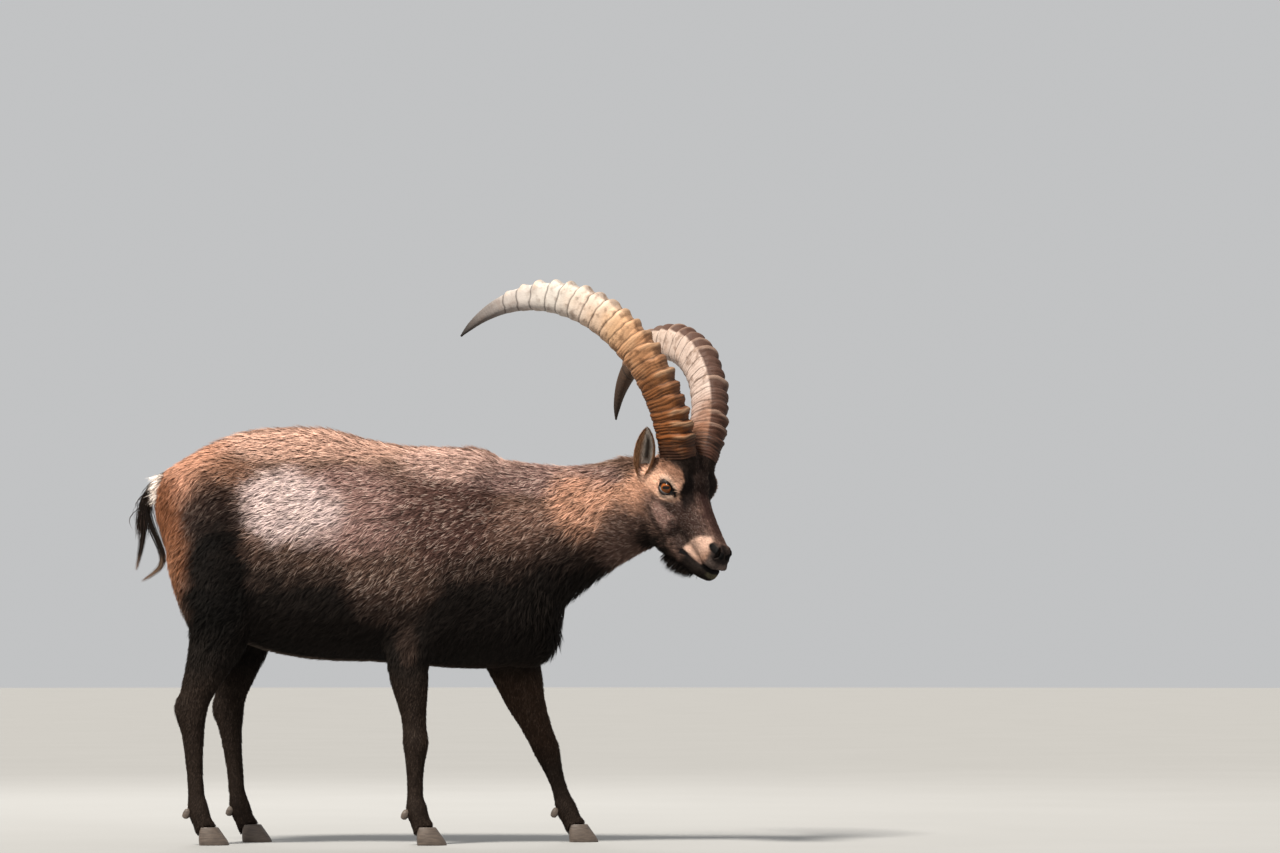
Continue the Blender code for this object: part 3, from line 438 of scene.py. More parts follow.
def in_opening(local):
    """1 on the edge of the eye's almond opening, less inside it, more outside."""
    u, w, out = ((local - np.array(EYE_PLACE)) @ EYE_AXES).T
    almond = 1.0 - CORNERS * np.clip(np.abs(u) / OPENING[0], 0, 1) ** 2
    q = np.hypot(u / OPENING[0], w / (OPENING[1] * almond))
    return np.where(out > 0, q, 9.0)


def brush(verts, centre, radii, push, normals):
    """Pushes the skin near a place by push metres, the same on both sides of the head."""
    local = mirrored(to_head(verts))
    q = np.linalg.norm((local - np.array(centre)) / np.array(radii), axis=1)
    return verts + normals * (push * np.exp(-2.2 * q * q) * (near_head(verts) > 0.02))[:, None]


def groove(verts, path, width, depth, end_depth, normals):
    """Sinks the skin along a line, to one depth at its start and another at its end."""
    gap, where = line_distance(mirrored(to_head(verts)), path)
    deep = depth + (end_depth - depth) * where
    return verts - normals * (deep * np.exp(-((gap / width) ** 2)))[:, None]


skin_normals = point_normals(skin_verts, skin_tris)
coat_depth = coat_length(skin_verts) * coat_lift(skin_verts) * COAT_SHARE + LEAST_COAT
skin_verts = skin_verts - skin_normals * coat_depth[:, None]
skin_normals = point_normals(skin_verts, skin_tris)

for centre, radii, push in (  # brow, cheekbones, hollows, nose and lips
    ((-0.004, 0.052, 0.034), (0.026, 0.014, 0.010), 0.0022),
    ((0.006, 0.060, -0.030), (0.030, 0.016, 0.009), 0.0012),
    ((0.040, 0.044, 0.004), (0.014, 0.012, 0.012), -0.0030),
    ((0.060, 0.041, -0.050), (0.030, 0.020, 0.030), 0.0018),
    ((0.100, 0.030, -0.030), (0.022, 0.014, 0.020), -0.0022),
    ((0.140, 0.030, -0.022), (0.028, 0.014, 0.016), 0.0016),
    ((0.196, 0.030, 0.002), (0.014, 0.008, 0.006), 0.0016),
    ((0.186, 0.013, 0.013), (0.016, 0.007, 0.008), 0.0018),
    ((0.180, 0.029, -0.038), (0.024, 0.010, 0.007), 0.0018),
    ((0.190, 0.022, -0.060), (0.020, 0.012, 0.008), 0.0012),
    ((-0.035, 0.018, 0.070), (0.030, 0.014, 0.020), 0.0020),
):
    skin_verts = brush(skin_verts, centre, radii, push, skin_normals)
for path, width, depth, end_depth in (  # mouth, lip cleft, tear line, lid folds and cheek lines
    (MOUTH_LINE, 0.0026, 0.0040, 0.0095),
    (((0.204, 0.0, 0.004), (0.212, 0.0, -0.020), (0.211, 0.0, -0.035)), 0.0016, 0.0018, 0.0018),
    (((0.020, 0.060, 0.016), (0.036, 0.050, 0.006), (0.052, 0.046, -0.006)), 0.0035, 0.0026, 0.0006),
    (((-0.030, 0.060, 0.022), (-0.010, 0.066, 0.030), (0.018, 0.062, 0.034)), 0.0022, 0.0014, 0.0014),
    (((-0.024, 0.062, -0.024), (0.000, 0.062, -0.026), (0.022, 0.060, -0.014)), 0.0024, 0.0012, 0.0012),
    (((0.020, 0.052, -0.035), (0.048, 0.048, -0.050), (0.060, 0.046, -0.080)), 0.0050, 0.0012, 0.0012),
    (((0.112, 0.030, -0.060), (0.104, 0.031, -0.070), (0.100, 0.030, -0.082)), 0.0022, 0.0014, 0.0014),
):
    skin_verts = groove(skin_verts, path, width, depth, end_depth, skin_normals)

local = mirrored(to_head(skin_verts))
nostril_ways = np.array(((0.72, 0.45, -0.53), (-0.45, 0.85, 0.10), (0.45, 0.20, 0.85)))
nostril_axes = unit(nostril_ways).T
u, v, w = ((local - np.array(NOSTRIL)) @ nostril_axes).T
hole = np.sqrt((u / 0.0150) ** 2 + ((v - 0.25 * u * u / 0.015) / 0.0050) ** 2 + (w / 0.016) ** 2)
inward = -unit(np.array((0.55, 0.55, 0.62)))
deep = 0.0110 * ease(hole, 1.05, 0.55) - 0.0010 * ease(hole, 1.8, 1.15) * ease(hole, 0.95, 1.15)
side = np.sign(to_head(skin_verts)[:, 1])
move = np.stack((inward[0] * deep, inward[1] * deep * side, inward[2] * deep), 1)
skin_verts = skin_verts + move @ np.array(HEAD_AXES).T
print("nostril points", int((hole < 1).sum()))

# %% [markdown]
# Round each eye the skin is seated on the ball: inside the almond opening it drops behind the
# ball, and outside it rises in a lid about two millimetres thick.

# %% Seat the lids on the eyes
BEHIND_BALL = 0.0030
LID_THICKNESS = 0.0026
LID_REACH = 0.034
local = to_head(skin_verts)
side = np.where(local[:, 1] < 0, -1.0, 1.0)
local[:, 1] *= side
away = local - np.array(EYE_PLACE)
radius = np.linalg.norm(away, axis=1)
q = in_opening(local)
wanted = np.where(q < 1.0, EYE_RADIUS - BEHIND_BALL, EYE_RADIUS + LID_THICKNESS)
share = ease(q, 2.0, 1.06) * (radius < LID_REACH)
radius_new = radius + (wanted - radius) * share
local = np.array(EYE_PLACE) + away / np.maximum(radius, 1e-6)[:, None] * radius_new[:, None]
local[:, 1] *= side
near_eye = (share > 0) & (near_head(skin_verts) > 0.5)
skin_verts[near_eye] = (np.array(SHIFT + HEAD_PLACE) + local @ np.array(HEAD_AXES).T)[near_eye]
seam = near_eye & (q > 1.02) & (q < 2.4)
skin_verts = relaxed(skin_verts, skin_edges, 3, seam.astype(float))
skin_normals = point_normals(skin_verts, skin_tris)
print("points seated on the eyes", int(near_eye.sum()))

# %% [markdown]
# The markings are soft-edged patches with named colours. Skin and coat both ask the same
# function, so that they always agree. Its fourth number says how far pale tips frost the hair.

# %% Markings of the body
BROWN = (0.100, 0.057, 0.041)
DARK = (0.0086, 0.0068, 0.0057)
RUST = (0.150, 0.056, 0.025)
FROST = (0.530, 0.410, 0.390)
BODY_PATCHES = (  # x, z, half length, half height, tilt in degrees, colour, frosting, strength
    (-0.160, 0.915, 0.430, 0.066, 0, (0.480, 0.290, 0.220), 0.65, 0.95),
    (-0.545, 0.850, 0.115, 0.095, 0, (0.390, 0.196, 0.128), 0.40, 0.95),
    (-0.585, 0.690, 0.060, 0.150, 8, RUST, 0.30, 0.95),
    (-0.440, 0.820, 0.075, 0.050, 0, (0.190, 0.095, 0.060), 0.60, 0.75),
    (-0.180, 0.752, 0.200, 0.092, -6, (0.255, 0.148, 0.130), 0.95, 0.85),
    (-0.300, 0.752, 0.118, 0.078, -8, FROST, 1.00, 0.97),
    (0.050, 0.730, 0.130, 0.125, 0, (0.081, 0.041, 0.034), 0.90, 0.88),
    (0.080, 0.855, 0.145, 0.042, 0, (0.410, 0.260, 0.215), 1.00, 0.90),
    (0.270, 0.815, 0.170, 0.040, 0, (0.200, 0.120, 0.106), 0.95, 0.82),
    (0.370, 0.745, 0.105, 0.072, -24, (0.420, 0.218, 0.142), 0.55, 0.95),
    (0.445, 0.742, 0.046, 0.070, -20, (0.500, 0.262, 0.168), 0.50, 0.85),
    (0.215, 0.705, 0.080, 0.075, -20, (0.160, 0.088, 0.066), 0.80, 0.75),
    (-0.085, 0.590, 0.080, 0.065, 0, (0.085, 0.052, 0.041), 0.95, 0.60),
)
DARK_LINE = (  # x and z along the lower edge of the coloured flank
    (-0.640, 0.470), (-0.560, 0.500), (-0.500, 0.560), (-0.405, 0.610), (-0.300, 0.614),
    (-0.200, 0.606), (-0.146, 0.535), (-0.030, 0.525), (0.010, 0.560), (0.045, 0.604),
    (0.157, 0.622), (0.290, 0.652), (0.380, 0.668), (0.470, 0.668), (0.520, 0.656))


def mix(colours, colour, share):
    """Blends a colour and a frosting into rows of four numbers."""
    return colours + (np.asarray(colour, float) - colours) * share[:, None]


def body_marks(points):
    x, y, z = design(points).T
    wander = rough(points, 0.16, 4)
    fine = rough(points, 0.045, 5)
    marks = np.tile(np.array(BROWN + (0.55,)), (len(points), 1))
    for cx, cz, long, high, tilt, colour, frost, strength in BODY_PATCHES:
        c, s = math.cos(math.radians(tilt)), math.sin(math.radians(tilt))
        along, across = (x - cx) * c + (z - cz) * s, (z - cz) * c - (x - cx) * s
        q = np.hypot(along / long, across / high) + 0.16 * wander + 0.10 * fine
        marks = mix(marks, colour + (frost,), strength * ease(q, 1.30, 0.62))
    edge = z - np.interp(x, *zip(*DARK_LINE)) + 0.016 * wander + 0.012 * fine
    marks = mix(marks, (0.034, 0.021, 0.016, 0.60), 0.80 * ease(edge, 0.085, 0.010))
    marks = mix(marks, DARK + (0.05,), 0.98 * ease(edge, 0.030, -0.045))
    upper = np.hypot((x + 0.475) / 0.070, (z - 0.730) / 0.085) + 0.16 * wander + 0.10 * fine
    outside = ease(np.abs(y), 0.05, 0.08)
    marks = mix(marks, (0.017, 0.010, 0.008, 0.40), 0.93 * ease(upper, 1.40, 0.70) * outside)
    thigh = np.hypot((x + 0.462) / 0.070, (z - 0.590) / 0.135) + 0.15 * wander + 0.08 * fine
    marks = mix(marks, (0.0040, 0.0035, 0.0030, 0.05), 0.97 * ease(thigh, 1.35, 0.75) * outside)
    rear = ease(x + 0.30 * (0.60 - z), -0.530, -0.575) * ease(z, 0.34, 0.46) * ease(z, 0.72, 0.60)
    marks = mix(marks, (0.190, 0.085, 0.045, 0.45), 0.85 * rear)
    # Lighter brown on the outer side of the near elbow only: a painted highlight.
    elbow_highlight = np.hypot((x + 0.040) / 0.024, (z - 0.450) / 0.048) + 0.2 * fine
    marks = mix(marks, (0.046, 0.028, 0.021, 0.30), 0.5 * ease(elbow_highlight, 1.3, 0.6) * ease(-y, 0.06, 0.10))
    leg = ease(z, 0.42, 0.34)
    marks = mix(marks, (0.017, 0.011, 0.008, 0.25), 0.9 * leg)
    inner = leg * ease(x, -0.02, 0.02) * ease(z, 0.16, 0.24)
    marks = mix(marks, (0.048, 0.026, 0.016, 0.40), 0.6 * inner)
    belly = ease(z, 0.470, 0.425) * ease(np.abs(y), 0.050, 0.020)
    belly = belly * ease(z, 0.37, 0.40) * ease(x, 0.10, -0.06)
    marks = mix(marks, (0.200, 0.150, 0.120, 0.30), 0.35 * belly)
    spine = ease(np.abs(y) + 0.006 * fine, 0.034, 0.014) * ease(z, 0.84, 0.87) * ease(x, 0.34, 0.20)
    marks = mix(marks, (0.095, 0.046, 0.030, 0.40), 0.75 * spine)
    root = (design(points) - np.array((-0.612, 0, 0.800))) / np.array((0.026, 0.034, 0.030))
    root = np.linalg.norm(root, axis=1)
    marks = mix(marks, (0.700, 0.600, 0.520, 0.0), 0.95 * ease(root + 0.1 * fine, 1.25, 0.75))
    clump = 0.55 * rough(points, 0.030, 6) + 0.45 * rough(points, 0.014, 7)
    marks[:, :3] *= (1.0 + (0.12 + 0.26 * marks[:, 3]) * clump)[:, None]
    return marks


# %% [markdown]
# The face is marked in the head's own axes: soft ellipsoids first, then outlines drawn on the
# side of the face, and last the thin dark lines of mouth, nostril, crease and lids. The crease's dark
# line is painted shade, the nostril's is dark skin with painted shade in its opening, and a pale
# patch at the front of the nose is a painted highlight.

# %% Markings of the head
HEAD_PATCHES = (  # a, b, c, three half sizes, colour, frosting, strength
    (-0.065, 0.055, -0.050, 0.058, 0.058, 0.068, (0.470, 0.248, 0.160), 0.60, 0.90),
    (0.000, 0.050, -0.052, 0.036, 0.040, 0.020, (0.165, 0.097, 0.078), 0.95, 0.75),
    (0.040, 0.050, -0.048, 0.044, 0.030, 0.026, (0.235, 0.138, 0.116), 1.00, 0.62),
    (0.033, 0.052, -0.024, 0.026, 0.030, 0.010, (0.030, 0.018, 0.015), 0.60, 0.80),
    (0.090, 0.040, -0.010, 0.062, 0.030, 0.030, (0.036, 0.020, 0.017), 0.70, 0.92),
    (0.100, 0.032, -0.054, 0.052, 0.022, 0.026, (0.026, 0.016, 0.014), 0.60, 0.88),
    (0.020, 0.000, 0.060, 0.095, 0.050, 0.044, (0.014, 0.0080, 0.0066), 0.45, 0.95),
    (0.100, 0.000, 0.024, 0.080, 0.020, 0.022, (0.026, 0.0115, 0.010), 0.25, 0.88),
    (0.070, 0.000, -0.120, 0.110, 0.060, 0.040, DARK, 0.02, 0.97),
)
TAN_PATCH = ((-0.078, 0.010), (-0.060, 0.034), (-0.034, 0.052), (0.000, 0.060), (0.020, 0.054),
             (0.032, 0.034), (0.040, 0.012), (0.034, -0.006), (0.016, -0.022), (-0.010, -0.034),
             (-0.040, -0.040), (-0.080, -0.040))
LIP_PATCH = ((0.118, -0.073), (0.116, -0.046), (0.133, -0.010), (0.151, 0.007), (0.162, 0.005),
             (0.168, -0.006), (0.178, -0.011), (0.187, -0.027), (0.180, -0.043), (0.158, -0.057),
             (0.133, -0.063))
NOSE_PAD = ((0.163, -0.001), (0.165, 0.006), (0.177, 0.010), (0.188, 0.008), (0.198, 0.003),
            (0.206, -0.004), (0.206, -0.012), (0.197, -0.011), (0.184, -0.009), (0.172, -0.007))
NOSTRIL_LINE = ((0.170, 0.0285, 0.0005), (0.181, 0.0275, 0.0005), (0.192, 0.020, -0.0005),
                (0.200, 0.009, -0.0040))
CHEEK_CREASE = ((-0.014, 0.058, -0.050), (-0.004, 0.056, -0.070), (0.024, 0.052, -0.077),
                (0.050, 0.048, -0.079), (0.074, 0.037, -0.090))
TEAR_LINE = ((0.022, 0.062, 0.016), (0.036, 0.054, 0.003))
TAN_ABOVE = np.array((0.200, 0.100, 0.063, 0.45))
TAN_BEHIND = np.array((0.720, 0.430, 0.300, 0.30))
LIP_BROWN = np.array((0.240, 0.140, 0.098, 0.35))
LIP_PALE = np.array((0.600, 0.400, 0.310, 0.10))
BARE_BLACK = (0.006, 0.005, 0.005, 0.0)


def inside_outline(a, c, outline):
    """Distance in metres inside a closed outline on the side of the face, less than 0 outside it."""
    points = np.stack((a, np.zeros_like(a), c), 1)
    corners = [(u, 0.0, w) for u, w in outline]
    gap, _ = line_distance(points, corners + corners[:1])
    within = np.zeros(len(a), bool)
    for (u0, w0), (u1, w1) in zip(outline, outline[1:] + outline[:1]):
        crosses = (w0 > c) != (w1 > c)
        if w0 != w1:
            within ^= crosses & (a < (u1 - u0) * (c - w0) / (w1 - w0) + u0)
    return np.where(within, gap, -gap)


def head_marks(points):
    local = mirrored(to_head(points))
    a, b, c = local.T
    wander = rough(points, 0.035, 8)
    fine = rough(points, 0.012, 9)
    marks = np.tile(np.array((0.115, 0.067, 0.052, 0.70)), (len(points), 1))
    for ca, cb, cc, ra, rb, rc, colour, frost, strength in HEAD_PATCHES:
        q = np.linalg.norm((local - np.array((ca, cb, cc))) / np.array((ra, rb, rc)), axis=1)
        marks = mix(marks, colour + (frost,), strength * ease(q + 0.18 * wander + 0.22 * fine, 1.45, 0.55))
    ridge = b - 0.0555 + 0.12 * np.maximum(a - 0.015, 0)
    outer = np.maximum(ease(ridge, -0.004, 0.002), ease(c, 0.026, 0.010))
    tan = ease(inside_outline(a, c, TAN_PATCH) + 0.002 * wander + 0.002 * fine, -0.004, 0.005)
    behind = ease(c - 0.5 * a, 0.046, 0.016)[:, None]
    tan_colour = TAN_ABOVE * (1 - behind) + TAN_BEHIND * behind
    marks = marks + (tan_colour - marks) * (0.95 * tan * outer)[:, None]
    band = ease(b, 0.020, 0.028) * ease(ridge, 0.002, -0.003)
    band = band * ease(c + 0.60 * a, 0.026, 0.040) * ease(a, 0.080, 0.050)
    marks = mix(marks, (0.007, 0.005, 0.0045, 0.10), 0.93 * band)
    # Dark line along the cheek crease: painted shade.
    crease, _ = line_distance(local, CHEEK_CREASE)
    marks = mix(marks, (0.010, 0.007, 0.006, 0.2), 0.85 * ease(crease + 0.003 * fine, 0.013, 0.002))
    q = in_opening(local)
    u = (local - np.array(EYE_PLACE)) @ EYE_AXES[:, 0]
    ring = ease(q, 1.50, 1.70) * ease(q + 0.2 * fine, 2.75, 2.10)
    ring = ring * ease(np.abs(u), 0.034, 0.020)
    marks = mix(marks, (0.560, 0.400, 0.310, 0.0), 0.85 * ring)
    lip = inside_outline(a, c, LIP_PATCH) + 0.0012 * wander + 0.0012 * fine
    pale = ease(a - 0.5 * c, 0.194, 0.164)[:, None]
    lip_colour = LIP_BROWN * (1 - pale) + LIP_PALE * pale
    on_lip = 0.93 * ease(lip, -0.004, 0.005) * ease(b, 0.010, 0.020)
    marks = marks + (lip_colour - marks) * on_lip[:, None]
    front = ease(a + 0.3 * c, 0.172, 0.184) * ease(c, -0.052, -0.044)
    marks = mix(marks, (0.066, 0.050, 0.044, 0.20), 0.92 * front * ease(c, 0.004, -0.006))
    # Paler patch at the front of the nose, low and near the middle: a painted highlight.
    nose_highlight = 0.4 * ease(a, 0.202, 0.208) * ease(c, -0.015, -0.021) * ease(b, 0.014, 0.006)
    marks = mix(marks, (0.200, 0.140, 0.118, 0.0), nose_highlight)
    nose = 0.9 * ease(a + 0.3 * c, 0.178, 0.188) * ease(c, -0.024, -0.015)
    marks = mix(marks, (0.014, 0.010, 0.009, 0.0), nose)
    pad = inside_outline(a, c, NOSE_PAD)
    marks = mix(marks, (0.022, 0.016, 0.014, 0.0), 0.90 * ease(pad, -0.0015, 0.0015))
    # Near-black nostril: dark bare skin, with painted shade in its opening.
    nostril_skin_and_shade, _ = line_distance(local, NOSTRIL_LINE)
    marks = mix(marks, (0.0035, 0.003, 0.003, 0.0), ease(nostril_skin_and_shade, 0.0082, 0.0062))
    gap, where = line_distance(local - np.array((0.001, 0, -0.0022)), MOUTH_LINE)
    below = c - np.interp(a, [p[0] for p in MOUTH_LINE], [p[2] for p in MOUTH_LINE])
    chin = ease(a, 0.118, 0.140) * ease(below, 0.000, -0.003)
    marks = mix(marks, (0.0085, 0.0065, 0.0055, 0.10), 0.97 * chin)
    rim = ease(a, 0.198, 0.206) * ease(c, -0.046, -0.050) * ease(c, -0.064, -0.059)
    marks = mix(marks, (0.110, 0.096, 0.060, 0.0), 0.65 * rim)
    marks = mix(marks, BARE_BLACK, ease(gap - 0.0012 * where, 0.0080, 0.0060))
    tear, _ = line_distance(local, TEAR_LINE)
    marks = mix(marks, BARE_BLACK, ease(tear, 0.0068, 0.0040))
    marks = mix(marks, BARE_BLACK, ease(q, 1.66, 1.50))
    foot = (local - np.array((-0.050, 0.040, 0.064))) / np.array((0.054, 0.042, 0.024))
    foot = np.linalg.norm(foot, axis=1)
    marks = mix(marks, (0.020, 0.013, 0.010, 0.1), 0.85 * ease(foot + 0.15 * fine, 1.25, 0.75))
    speckle = 0.6 * fine + 0.6 * rough(points, 0.006, 10)
    marks[:, :3] *= np.maximum(0.25, 1.0 + (0.08 + 0.34 * marks[:, 3]) * speckle)[:, None]
    return marks


def marks_at(points):
    """Colour and frosting of skin or coat at each point."""
    face = near_head(points)
    return body_marks(points) * (1 - face)[:, None] + head_marks(points) * face[:, None]


skin_marks = marks_at(skin_verts)
print("marks", skin_marks.min(0).round(3), skin_marks.max(0).round(3))

# %% [markdown]
# One node group gives every hair its tone: dark at the root, which is painted shade deep in the coat,
# its own lighter or darker value, and pale or dark tips where the coat is frosted. The skin uses the
# same group with streaks of noise in place of single hairs.

# %% Shader groups
def new_group(name, inputs, outputs):
    tree = bpy.data.node_groups.new(name, "ShaderNodeTree")
    for label, kind, value in inputs:
        socket = tree.interface.new_socket(label, in_out="INPUT", socket_type=kind)
        socket.default_value = value
    for label, kind in outputs:
        tree.interface.new_socket(label, in_out="OUTPUT", socket_type=kind)
    return tree, tree.nodes.new("NodeGroupInput"), tree.nodes.new("NodeGroupOutput")


def feed(tree, socket, value):
    """Sets a socket to a fixed value, or links it to another node's output."""
    if isinstance(value, (int, float, tuple)):
        socket.default_value = value
    else:
        tree.links.new(value, socket)


def math_node(tree, operation, first, second=0.5):
    node = tree.nodes.new("ShaderNodeMath")
    node.operation = operation
    feed(tree, node.inputs[0], first)
    feed(tree, node.inputs[1], second)
    return node.outputs[0]


def scale_node(tree, value, factor, offset):
    """The value times a factor, plus an offset."""
    output = math_node(tree, "MULTIPLY_ADD", value, factor)
    output.node.inputs[2].default_value = offset
    return output


def product(tree, first, *others):
    for other in others:
        first = math_node(tree, "MULTIPLY", first, other)
    return first


def mix_node(tree, share, first, second, blend="MIX"):
    node = tree.nodes.new("ShaderNodeMix")
    node.data_type = "RGBA"
    node.blend_type = blend
    feed(tree, node.inputs[0], share)
    feed(tree, node.inputs[6], first)
    feed(tree, node.inputs[7], second)
    return node.outputs[2]


def ramp_node(tree, value, low, high):
    node = tree.nodes.new("ShaderNodeMapRange")
    node.interpolation_type = "SMOOTHSTEP"
    tree.links.new(value, node.inputs["Value"])
    node.inputs["From Min"].default_value = low
    node.inputs["From Max"].default_value = high
    return node.outputs[0]


def noise_node(tree, scale, detail=3.0, stretch=None):
    place = tree.nodes.new("ShaderNodeTexCoord").outputs["Object"]
    if stretch:
        mapping = tree.nodes.new("ShaderNodeMapping")
        mapping.inputs["Scale"].default_value = stretch
        tree.links.new(place, mapping.inputs["Vector"])
        place = mapping.outputs[0]
    node = tree.nodes.new("ShaderNodeTexNoise")
    node.inputs["Scale"].default_value = scale
    node.inputs["Detail"].default_value = detail
    tree.links.new(place, node.inputs["Vector"])
    return node.outputs["Fac"]


PALE_TIP = (0.640, 0.520, 0.440, 1.0)
DARK_HAIR = (0.030, 0.020, 0.016, 1.0)
tone_group, into, out = new_group(
    "hair_tone",
    (("Mark", "NodeSocketColor", (0.2, 0.1, 0.1, 1)), ("Frost", "NodeSocketFloat", 0.5),
     ("Shade", "NodeSocketFloat", 0.5), ("Along", "NodeSocketFloat", 0.5)),
    (("Colour", "NodeSocketColor"),),
)
mark, frost, shade, along = (into.outputs[k] for k in ("Mark", "Frost", "Shade", "Along"))
# Each hair darkens towards its root: painted shade deep in the coat.
root_shade = scale_node(tone_group, ramp_node(tone_group, along, -0.1, 0.8), 0.62, 0.38)
value = product(tone_group, scale_node(tone_group, shade, 1.10, 0.50), root_shade)
combine = tone_group.nodes.new("ShaderNodeCombineColor")
for socket in combine.inputs[:3]:
    tone_group.links.new(value, socket)
toned = mix_node(tone_group, 1.0, mark, combine.outputs[0], "MULTIPLY")
tip = ramp_node(tone_group, along, 0.35, 1.0)
pale = product(tone_group, tip, ramp_node(tone_group, shade, 0.50, 0.85), frost, frost, 0.80)
toned = mix_node(tone_group, pale, toned, PALE_TIP)
dark = product(tone_group, ramp_node(tone_group, shade, 0.34, 0.10), frost, 0.65)
toned = mix_node(tone_group, dark, toned, DARK_HAIR)
tone_group.links.new(toned, out.inputs[0])


def attribute_node(tree, name):
    node = tree.nodes.new("ShaderNodeAttribute")
    node.attribute_name = name
    return node


def new_material(name, roughness, specular, coat=0.0):
    """A Principled material with its fixed numbers on the shader's own sockets."""
    material = bpy.data.materials.new(name)
    material.use_nodes = True
    shader = material.node_tree.nodes["Principled BSDF"]
    shader.inputs["Roughness"].default_value = roughness
    shader.inputs["Specular IOR Level"].default_value = specular
    shader.inputs["Coat Weight"].default_value = coat
    return material, material.node_tree, shader


def add_tone(tree, shader, shade, along):
    """Colours a shader by the marks of its mesh and the tone of each hair."""
    marks = attribute_node(tree, "marks")
    group = tree.nodes.new("ShaderNodeGroup")
    group.node_tree = tone_group
    feed(tree, group.inputs["Mark"], marks.outputs["Color"])
    feed(tree, group.inputs["Frost"], marks.outputs["Alpha"])
    feed(tree, group.inputs["Shade"], shade)
    feed(tree, group.inputs["Along"], along)
    tree.links.new(group.outputs[0], shader.inputs["Base Color"])


def add_bump(tree, shader, height, strength, distance):
    bump = tree.nodes.new("ShaderNodeBump")
    bump.inputs["Strength"].default_value = strength
    bump.inputs["Distance"].default_value = distance
    tree.links.new(height, bump.inputs["Height"])
    tree.links.new(bump.outputs[0], shader.inputs["Normal"])


coat_material, tree, shader = new_material("coat_hair", 0.62, 0.05)
hair = attribute_node(tree, "hair")
split = tree.nodes.new("ShaderNodeSeparateColor")
tree.links.new(hair.outputs["Color"], split.inputs[0])
add_tone(tree, shader, split.outputs[0], split.outputs[1])

skin_material, tree, shader = new_material("skin", 0.66, 0.06)
streaks = noise_node(tree, 260.0)
# The fixed share 0.35 gives the skin the darker tone of a hair's lower part: painted shade under the coat.
add_tone(tree, shader, streaks, 0.35)
add_bump(tree, shader, streaks, 0.5, 0.0012)
print("groups", [g.name for g in bpy.data.node_groups])

# %% [markdown]
# The skin's own unwrap gives each tuft its place on the baked picture. Smart project cuts the
# skin into islands by the way its faces look, with no regard to any camera.

# %% Make the skin piece
skin = new_piece("skin", skin_verts, skin_tris, skin_material, FLESH)
paint(skin.data, "marks", skin_marks)


def unwrap(piece):
    """Unwraps a piece by its own shape and returns the map's value at each corner."""
    bpy.ops.object.select_all(action="DESELECT")
    piece.select_set(True)
    bpy.context.view_layer.objects.active = piece
    bpy.ops.object.mode_set(mode="EDIT")
    bpy.ops.mesh.select_all(action="SELECT")
    bpy.ops.uv.smart_project(angle_limit=math.radians(66), island_margin=0.002)
    bpy.ops.object.mode_set(mode="OBJECT")
    layer = piece.data.uv_layers[0]
    layer.name = "OFBake"
    values = np.empty(len(piece.data.loops) * 2, np.float32)
    layer.uv.foreach_get("vector", values)
    return values.reshape(-1, 3, 2)


skin_map = unwrap(skin)
print("skin unwrapped", skin_map.shape)

# %% [markdown]
# A tuft is a narrow folded leaf: three points across at the root and the middle, and one at the
# tip, six triangles in all. It starts under the skin, rises at a low angle and bends back down.

# %% Grow tufts
TUFT_POINTS = 7
TUFT_TRIANGLES = 6


def tuft_mesh(roots, normals, ways, length, width, lift, bend, uv):
    """Points, triangles, share along the hair and map for one leaf at each root."""
    across = unit(np.cross(ways, normals))
    rows = ((0.0, 0.80), (0.5, 1.0), (1.0, 0.0))
    points, along, maps = [], [], []
    for share, wide in rows:
        rise = length * lift * (1.25 * share - 0.25 * share**2) - 0.0008 * (1 - share)
        middle = (roots + ways * (length * (share - 0.06))[:, None] + normals * rise[:, None]
                  + across * (bend * length * share**2)[:, None])
        for sideways in ((-1, 0, 1) if wide else (0,)):
            raised = 0.40 * width * wide * (1 - abs(sideways))
            aside = width * wide * sideways / 2
            points.append(middle + across * aside[:, None] + normals * raised[:, None])
            along.append(np.full(len(roots), share))
            maps.append(uv + np.array((0.0014 * sideways * wide, 0.0028 * (share - 0.5))))
    count = len(roots)
    points = np.stack(points, 1).reshape(-1, 3)
    along = np.stack(along, 1).ravel()
    maps = np.stack(maps, 1).reshape(-1, 2)
    leaf = np.array(((0, 1, 4), (0, 4, 3), (1, 2, 5), (1, 5, 4), (3, 4, 6), (4, 5, 6)))
    tris = (np.arange(count)[:, None, None] * TUFT_POINTS + leaf[None]).reshape(-1, 3)
    return points, tris, along, maps


def scatter(verts, tris, density, count, random):
    """Triangles and places in them, spread evenly by area and density."""
    a, b, c = (verts[tris[:, k]] for k in range(3))
    area = np.linalg.norm(np.cross(b - a, c - a), axis=1) / 2 * density[tris].mean(1)
    total = np.cumsum(area)
    picks = (np.arange(count) + random.random(count)) / count * total[-1]
    which = np.minimum(np.searchsorted(total, picks), len(tris) - 1)
    first, second = random.random(count), random.random(count)
    over = first + second > 1
    first[over], second[over] = 1 - first[over], 1 - second[over]
    return which, np.stack((1 - first - second, first, second), 1)


def dress_hair(piece, tris, shade, along, maps):
    """Stores each point's tone and share along its hair, and the map for the baked picture."""
    hair = np.stack((shade, along, np.zeros(len(shade)), np.ones(len(shade))), 1)
    paint(piece.data, "hair", hair)
    layer = piece.data.uv_layers.new(name="OFBake")
    layer.uv.foreach_set("vector", maps[tris.ravel()].astype(np.float32).ravel())


